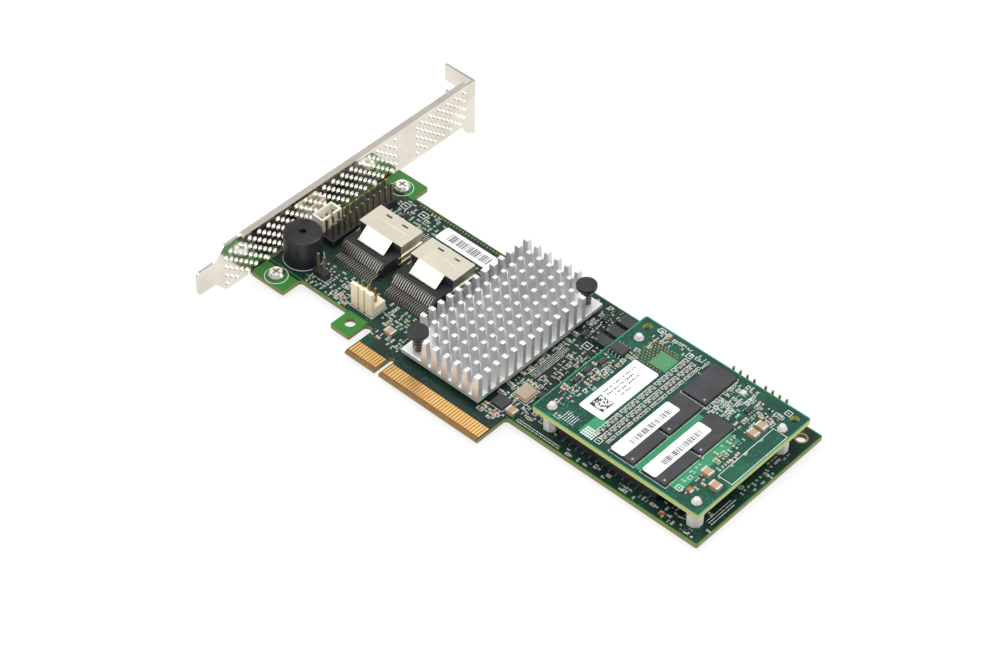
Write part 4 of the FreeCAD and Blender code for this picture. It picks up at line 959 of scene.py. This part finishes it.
def socket_details():
    """Ribs on the sockets' moulded tops, and the folded lips and pressed lines of their shells."""
    ribs = Shape()
    folds = Shape()
    pitch, count = 0.88, 18
    for side in ("1", "2"):
        a, b = span(f"sas_housing_{side}")
        shell_a, shell_b = span(f"sas_shell_{side}")
        lead_top = high(f"sas_contacts_{side}").z
        first = (a.x + b.x) / 2 - pitch * (count - 0.5) / 2
        for i in range(count):
            x = first + pitch * i
            ribs.box((x - 0.17, a.y + 2.0, lead_top - 0.22), (x + 0.17, a.y + 6.6, lead_top - 0.06))
        for start, stop in ((a.x + 0.05, a.x + 0.6), (b.x - 0.6, b.x - 0.05)):
            ribs.box((start, a.y + 1.3, lead_top - 0.22), (stop, a.y + 6.6, lead_top + 0.1))
        middle_x = (shell_a.x + shell_b.x) / 2
        line_y, line_z = shell_a.y + 9.3, shell_b.z
        folds.box((middle_x - 6.0, line_y, line_z - 0.02), (middle_x + 6.0, shell_a.y + 9.65, line_z + 0.06))
        for x0, x1 in ((shell_a.x - 0.3, shell_a.x + 0.02), (shell_b.x - 0.02, shell_b.x + 0.3)):
            folds.box((x0, shell_a.y + 3.0, deck + 3.3), (x1, shell_b.y - 0.6, deck + 3.55))
            folds.box((x0, shell_a.y + 3.0, deck + 1.0), (x1, shell_b.y - 3.6, deck + 1.2))
        for i in range(5):
            x = shell_a.x + 2.4 + 3.1 * i
            folds.box((x, shell_b.y - 0.3, deck + 0.02), (x + 1.3, shell_b.y + 0.5, deck + 0.22))
    ribs.make("socket_ribs", ("connector_black",), "black_plastic", 0.04)
    folds.make("shell_folds", ("shell_tin",), "shell_metal", 0.03)


def rings_and_marks():
    """Plated hole rings, screw circles, fiducials and the outlines printed round what stands up."""
    rings = Shape()
    copper = Shape()
    for screw_y in (low("bracket_screws").y + 2.6, high("bracket_screws").y - 2.6):
        main_floor.silk.printed_ring(middle("bracket_screws").x, screw_y, 3.5, 3.68, deck)
    rings.printed_ring(board_high.x - 4.0, board_high.y - 4.9, 1.6, 2.1, deck)
    for x, y, level in (
        (-28.9, 15.9, deck), (35.9, 11.9, deck), (95.4, 14.9, deck),
        (57.2, 63.0, cache_deck), (99.5, 21.3, cache_deck),
    ):
        copper.box((x - 0.9, y - 0.9, level), (x + 0.9, y + 0.9, level + 0.012))
        rings.lathe((x, y, level), ((0.35, 0.0), (0.35, SILK_THICKNESS)), 20)
    rings.make("plated_rings", ("via_gold",), "gold_contact")
    copper.make("fiducial_copper", ("etched_copper",), "board_green")
    centre = middle("buzzer")
    main_floor.silk.printed_ring(centre.x, centre.y, 6.2, 6.36, deck, 64)
    dots = Shape()
    for node, gap in (
        ("lock_header_housing", 0.3), ("clock_buffer_chip", 0.3), ("oscillator", 0.35),
        ("controller_chip", 0.6), ("jumper_header_base", 0.25),
    ):
        a, b = span(node)
        printed_frame(main_floor.silk, grown((a.x, a.y, b.x, b.y), gap), deck)
    for number in range(1, 6):
        a, b = span(f"memory_chip_{number}")
        printed_frame(cache_floor.silk, (a.x - 0.35, a.y - 0.3, b.x + 0.35, b.y + 0.3), cache_deck, 0.12)
        dots.lathe((b.x - 1.2, a.y + 1.2, b.z), ((0.38, 0.0), (0.38, 0.01), (0.3, 0.012)), 20)
    for number in range(1, 4):
        a, b = span(f"regulator_chip_{number}")
        dots.lathe((a.x + 0.7, a.y + 0.7, b.z), ((0.25, 0.0), (0.25, 0.01), (0.2, 0.012)), 16)
    dots.make("first_pin_marks", ("pad_grey",), "chip_black")


def edge_stitching():
    """The row of tinned vias that ties the planes together along the card's long edge."""
    shape = Shape()
    y = board_high.y - 7.5
    for i in range(34):
        x = -40.0 + 1.25 * i
        area = square(x, y, 0.4)
        if main_floor.free(area, 0.0):
            shape.lathe((x, y, deck), ((0.34, 0.0), (0.34, 0.015), (0.16, 0.015), (0.12, 0.008)), 14)
            main_floor.claim(area)
    shape.make("edge_vias", ("via_gold",), "gold_contact")


def solder_side():
    """The joints of the through-hole parts, and the capacitors under the controller."""
    post = ((0.78, 0.0), (0.62, -0.18), (0.36, -0.5), (0.28, -1.05), (0.1, -1.15))
    peg = ((1.0, 0.0), (0.8, -0.2), (0.5, -0.6), (0.2, -0.7))
    wire = ((0.8, 0.0), (0.6, -0.2), (0.34, -0.7), (0.1, -0.8))
    joints = Shape()
    under = board_low.z
    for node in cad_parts:
        if not node.endswith("_pins") or node == "push_pins":
            continue
        for a, b in islands(node):
            joints.lathe(((a.x + b.x) / 2, (a.y + b.y) / 2, under), post, 16)
    for side in ("1", "2"):
        a, b = span(f"sas_shell_{side}")
        for x in (a.x + 1.0, b.x - 1.0):
            for y in (a.y + 2.5, b.y - 3.0):
                joints.lathe((x, y, under), peg, 20)
    centre = middle("buzzer")
    for offset in (-3.8, 3.8):
        joints.lathe((centre.x + offset, centre.y, under), wire, 16)
    joints.make("solder_joints", ("bright_tin",), "tin", 0.0, True)
    parts = Shape()
    chip = middle("controller_chip")
    for column in range(-4, 5):
        for row in range(-4, 5):
            if abs(column) < 2 and abs(row) < 2:
                continue
            chip_part(parts, "c0402", chip.x + 1.9 * column, chip.y + 1.7 * row, 0.0, (column + row) % 2 == 0)
    for point in parts.points:
        point.z = under - point.z
    parts.make("solder_side_parts", PART_FINISHES, "capacitor_tan", 0.03)


def cache_board_parts():
    """The cache board's terminator columns, regulator corner, gold via field and printed areas."""
    board = cache_floor
    left, front = cache_low.x, cache_low.y
    vias = Shape()
    for column in range(9):
        for row in range(11):
            x = left + 8.0 + 1.15 * column + 0.55 * (row % 2)
            y = front + 34.2 + 0.98 * row
            if board.free(square(x, y, 0.3), 0.0):
                vias.lathe((x, y, cache_deck), ((0.3, 0.0), (0.3, 0.02), (0.14, 0.02), (0.12, 0.012)), 12)
    board.claim((left + 9.4, front + 35.0, left + 18.6, front + 44.4))
    for column in range(3):
        x = left + 20.0 + 2.45 * column
        for row in range(22):
            y = front + 4.6 + 1.86 * row + (0.4 if row % 4 > 1 else 0.0)
            board.put("r0402" if row % 5 else "c0402", x, y, True, True, 0.02)
            if column < 2:
                board.put("c0402", x + 1.2, y + 0.1, True, False, 0.02)
    for x, y in ((50.1, 41.8), (49.1, 36.3), (49.5, 31.4)):
        board.small_chip(x, y, 1.5, 2.9, 1.0, 4)
    board.small_chip(92.6, 55.6, 1.5, 2.9, 1.0, 3)
    board.small_chip(87.3, 59.8, 1.6, 2.0, 0.8, 2, "white_ceramic")
    board.small_print((left + 9.2, front + 2.0, left + 13.4, front + 6.4), 0.8)
    for x, y, upright in ((94.3, 51.8, True), (97.2, 51.8, True), (98.2, 38.0, False), (98.3, 34.4, False)):
        board.put("c0603", x, y, upright, True)
    for x0, y0, x1, y1, pitch, chance, kinds, outlined in (
        # from the board's near left corner, grid pitch, share filled, kinds, share outlined
        (1.4, 9.0, 8.8, 31.5, (1.75, 1.25), 0.95, MIXED, 0.5),
        (6.4, 31.0, 12.0, 49.0, (1.6, 1.2), 0.85, SMALL, 0.5),
        (12.0, 42.0, 34.0, 49.0, (1.9, 1.3), 0.5, SMALL, 0.5),
        (36.0, 32.0, 46.0, 48.6, (1.7, 1.25), 0.9, SMALL, 0.75),
        (46.0, 33.0, 56.4, 46.4, (1.8, 1.4), 0.85, MIXED, 0.5),
        (46.5, 3.0, 56.8, 33.0, (2.3, 1.9), 0.55, MIXED, 0.25),
        (1.4, 1.5, 9.0, 9.0, (1.9, 1.4), 0.5, MIXED, 0.5),
    ):
        area = (left + x0, front + y0, left + x1, front + y1)
        board.field(area, pitch, chance, kinds, outlined=outlined)
    for row in range(4):
        y = front + 36.2 + 1.3 * row
        vias.lathe((left + 53.4, y, cache_deck), ((0.5, 0.0), (0.5, 0.02), (0.2, 0.02)), 16)
    vias.make("cache_board_vias", ("via_gold",), "gold_contact")
    printed_frame(board.silk, (left + 55.3, front + 15.4, cache_high.x - 0.6, front + 40.0), cache_deck, 0.16)
    for x, y in ((54.3, 63.5), (66.6, 61.1), (69.4, 17.8), (97.0, 19.6), (101.5, 62.6)):
        board.symbol(x, y, 0.9, 0.16, 0.4, 0.18)
    for column in range(6):
        for row in range(4):
            x, y = left + 16.8 + 0.75 * column, front + 1.6 + 0.95 * row
            board.silk.box((x, y, cache_deck), (x + 0.5, y + 0.65, cache_deck + SILK_THICKNESS))


def main_board_parts():
    """Parts and marks over the main board's open areas."""
    board = main_floor
    far, right = cache_low.x, board_high.x
    for area, pitch, along_y in (
        ((32.6, 30.0, 35.2, 46.0), 0.62, True),
        ((42.5, 13.6, 60.0, 15.2), 0.8, False),
        ((right - 3.6, 21.0, right - 1.4, 34.0), 0.9, True),
        ((-42.4, 47.5, -38.0, 52.0), 0.75, True),
        ((-31.0, 48.4, -27.4, 53.6), 0.75, True),
    ):
        board.small_print(area, pitch, along_y)
    for x, y in ((-43.4, 58.0), (-36.4, 58.6), (-34.0, 46.8), (37.4, 50.2), (44.0, 37.0), (-9.0, 11.6)):
        area = square(x, y, 1.3)
        if board.free(area):
            board.symbol(x, y, 1.2, 0.2, 0.6, 0.3)
            board.claim(area)
    for x, y in ((-44.6, 17.8), (41.5, 25.5), (43.0, 47.0), (33.9, 53.5), (34.0, 62.5)):
        board.small_chip(x, y, 1.5, 2.9, 1.0, 3)
    for field in (
        # area, grid pitch, share filled, kinds, share with ticks, share outlined
        ((-46.0, 13.2, -24.4, 24.5), (1.9, 1.35), 0.6, MIXED, 0.6, 0.4),
        ((-26.0, 17.0, 0.4, 25.0), (1.9, 1.4), 0.55, SMALL, 0.6, 0.4),
        ((-12.5, 9.6, 0.6, 21.5), (2.2, 1.7), 0.55, MIXED, 0.6),
        ((-46.0, 44.0, -26.0, 61.5), (1.9, 1.4), 0.6, MIXED, 0.7, 0.5),
        ((-26.0, 47.6, 0.0, 61.5), (1.9, 1.4), 0.5, SMALL, 0.7, 0.4),
        ((-3.0, 62.0, 44.0, 68.2), (2.0, 1.5), 0.5, SMALL, 0.4),
        ((31.0, 9.4, far + 1.0, 21.5), (1.8, 1.3), 0.8, MIXED, 0.5, 0.4),
        ((30.8, 21.5, far + 1.0, 51.0), (1.8, 1.3), 0.75, MIXED, 0.5, 0.5),
        ((30.8, 51.0, far + 1.0, 66.8), (1.75, 1.25), 0.9, MIXED, 0.4, 0.4),
        ((far, 13.2, right - 1.0, 19.6), (2.3, 1.6), 0.5, SMALL, 0.5),
        ((right - 5.5, 18.0, right - 0.8, 60.0), (2.1, 1.7), 0.35, SMALL, 0.8),
    ):
        board.field(*field)


rings_and_marks()
end_caps()
socket_details()
edge_stitching()
solder_side()
cache_board_parts()
main_board_parts()
cache_floor.finish()
main_floor.finish()

INK_THICKNESS = 0.01


def barcode(shape, area, floor, upright):
    """Plain bars of uneven width, set out along Y when upright, or along X."""
    x0, y0, x1, y1 = area
    (at, stop), across = ((y0, y1), (x0, x1)) if upright else ((x0, x1), (y0, y1))
    while at < stop:
        width = draw.choice((0.14, 0.14, 0.26, 0.4))
        if at + width > stop:
            break
        shape.bar(0, 0, (at, at + width), across, (floor, floor + INK_THICKNESS), 0, upright)
        at += width + draw.choice((0.18, 0.26, 0.42))


def label_print():
    """Generic bars on the labels and a block of random squares on the largest."""
    shape = Shape()
    a, b = span("board_label")
    barcode(shape, (a.x + 3.4, a.y + 1.5, b.x - 2.0, b.y - 1.3), b.z, False)
    for number in (1, 2):
        a, b = span(f"chip_label_{number}")
        barcode(shape, (a.x + 2.0, a.y + 5.6, b.x - 1.0, b.y - 2.4), b.z, True)
    a, b = span("cache_label")
    cell = 0.36
    for column in range(14):
        for row in range(14):
            border = column in (0, 13) and row % 2 or row == 0 or column == 0
            if border or draw.random() < 0.48:
                x, y = a.x + 2.0 + cell * column, a.y + 2.4 + cell * row
                shape.box((x, y, b.z), (x + cell, y + cell, b.z + INK_THICKNESS))
    for line, (start, stop) in enumerate(((8.6, 22.4), (8.6, 20.0), (10.2, 21.0), (11.4, 15.5))):
        x = a.x + 2.0 + 1.45 * line
        y = a.y + start
        while y < a.y + stop:
            length = draw.uniform(0.3, 0.7)
            stroke(shape, x, y, x, min(y + length, a.y + stop), b.z, draw.uniform(0.3, 0.55))
            y += length + draw.choice((0.25, 0.25, 0.7))
    shape.make("label_print", ("label_ink",), "label_paper")


label_print()


# --- floor, light and camera

STANDOFF_INSET = (3.5, 3.6)
FLOOR_CENTRE = (25, 40, 0)
FLOOR_REACH = 3000
FLOOR_GLOW = 0.8
WORLD_LIGHT = 0.5
WORLD_IN_METAL = 0.85
WORLD_SEEN = 1.0
LAMP_AIM = Vector((0.025, 0.035, 0))
LAMPS = (
    # name, place and side of its square in metres, watts
    ("top_softbox", (0.15, -0.05, 1.3), 1.3, 14.0),
    ("left_softbox", (-1.0, -0.5, 0.8), 0.9, 9.0),
    ("right_softbox", (0.9, 0.7, 0.7), 0.8, 5.0),
)

CAMERA_TARGET = Vector((0.01757, 0.03403, 0.005))
CAMERA_DISTANCE = 0.7985
CAMERA_AZIMUTH = math.radians(41.209)
CAMERA_ELEVATION = math.radians(44.457)
CAMERA_ROLL = math.radians(1.592)
CAMERA_LENS = 98.54
SENSOR_WIDTH = 36.0
NEAREST, FARTHEST = 0.01, 50.0


def floor_paint():
    """White that partly glows where the camera or a reflection sees it."""
    paint = Finish("floor_white", (0.9, 0.9, 0.9, 1), 0.9)
    seen = paint.node("LightPath").outputs
    direct = paint.calc("MAXIMUM", seen["Is Camera Ray"], seen["Is Glossy Ray"])
    glow = paint.node("Emission", Strength=1.0).outputs[0]
    surface = paint.blend(paint.times(direct, FLOOR_GLOW), paint.shader.outputs[0], glow)
    paint.feed(paint.tree.nodes["Material Output"].inputs[0], surface)
    return paint.material


def floor():
    """A pale floor through three low points: the bracket's end, a push pin and a standoff.
    The near bracket screw's end lies about 0.6 mm below it."""
    rest = [
        Vector((low("bracket").x, high("bracket").y, low("bracket").z)),
        Vector((*push_pin_places[0], low("push_pins").z)),
        Vector((cache_high.x - STANDOFF_INSET[0], cache_low.y + STANDOFF_INSET[1], low("standoffs").z)),
    ]
    normal = (rest[1] - rest[0]).cross(rest[2] - rest[0]).normalized()
    if normal.z < 0:
        normal.negate()
    centre = Vector(FLOOR_CENTRE)
    away = centre - rest[0]
    centre.z = rest[0].z - (normal.x * away.x + normal.y * away.y) / normal.z
    tilt = Vector((0, 0, 1)).rotation_difference(normal).to_matrix()
    sheet = [Vector((x * FLOOR_REACH, y * FLOOR_REACH, 0)) for x, y in ((-1, -1), (1, -1), (1, 1), (-1, 1))]
    mesh = bpy.data.meshes.new("floor")
    mesh.from_pydata([(tilt @ c + centre) * MM for c in sheet], [], [(0, 1, 2, 3)])
    mesh.materials.append(floor_paint())
    piece = bpy.data.objects.new("floor", mesh)
    link(piece)


def white_world():
    """A white world, dimmer as light than it is to the camera."""
    world = bpy.data.worlds.new("studio")
    world.use_nodes = True
    bpy.context.scene.world = world
    sky = Nodes(world.node_tree)
    back = sky.tree.nodes["Background"]
    back.inputs["Color"].default_value = (1, 1, 1, 1)
    back.inputs["Strength"].default_value = WORLD_LIGHT
    mirrored, backdrop = (
        sky.node("Background", Strength=light).outputs[0] for light in (WORLD_IN_METAL, WORLD_SEEN)
    )
    seen = sky.node("LightPath").outputs
    lit = sky.blend(seen["Is Glossy Ray"], back.outputs[0], mirrored)
    sky.feed(sky.tree.nodes["World Output"].inputs[0], sky.blend(seen["Is Camera Ray"], lit, backdrop))


def lamps():
    for name, place, size, power in LAMPS:
        lamp = bpy.data.lights.new(name, "AREA")
        lamp.size = size
        lamp.energy = power
        holder = bpy.data.objects.new(name, lamp)
        link(holder)
        holder.location = place
        holder.rotation_euler = (LAMP_AIM - holder.location).to_track_quat("-Z", "Y").to_euler()


def camera():
    """The camera at the photographed angle."""
    lens = bpy.data.cameras.new("camera")
    lens.lens = CAMERA_LENS
    lens.sensor_width = SENSOR_WIDTH
    lens.clip_start, lens.clip_end = NEAREST, FARTHEST
    eye = bpy.data.objects.new("camera", lens)
    link(eye)
    back = Vector((
        math.sin(CAMERA_AZIMUTH) * math.cos(CAMERA_ELEVATION),
        -math.cos(CAMERA_AZIMUTH) * math.cos(CAMERA_ELEVATION),
        math.sin(CAMERA_ELEVATION),
    ))
    right = Vector((math.cos(CAMERA_AZIMUTH), math.sin(CAMERA_AZIMUTH), 0))
    up = back.cross(right)
    frame_of_view = Matrix((right, up, back)).transposed()
    frame_of_view = frame_of_view @ Matrix.Rotation(CAMERA_ROLL, 3, "Z")
    eye.matrix_world = Matrix.Translation(CAMERA_TARGET + back * CAMERA_DISTANCE) @ frame_of_view.to_4x4()
    bpy.context.scene.camera = eye


floor()
white_world()
lamps()
camera()
bpy.context.scene.view_settings.view_transform = "Standard"
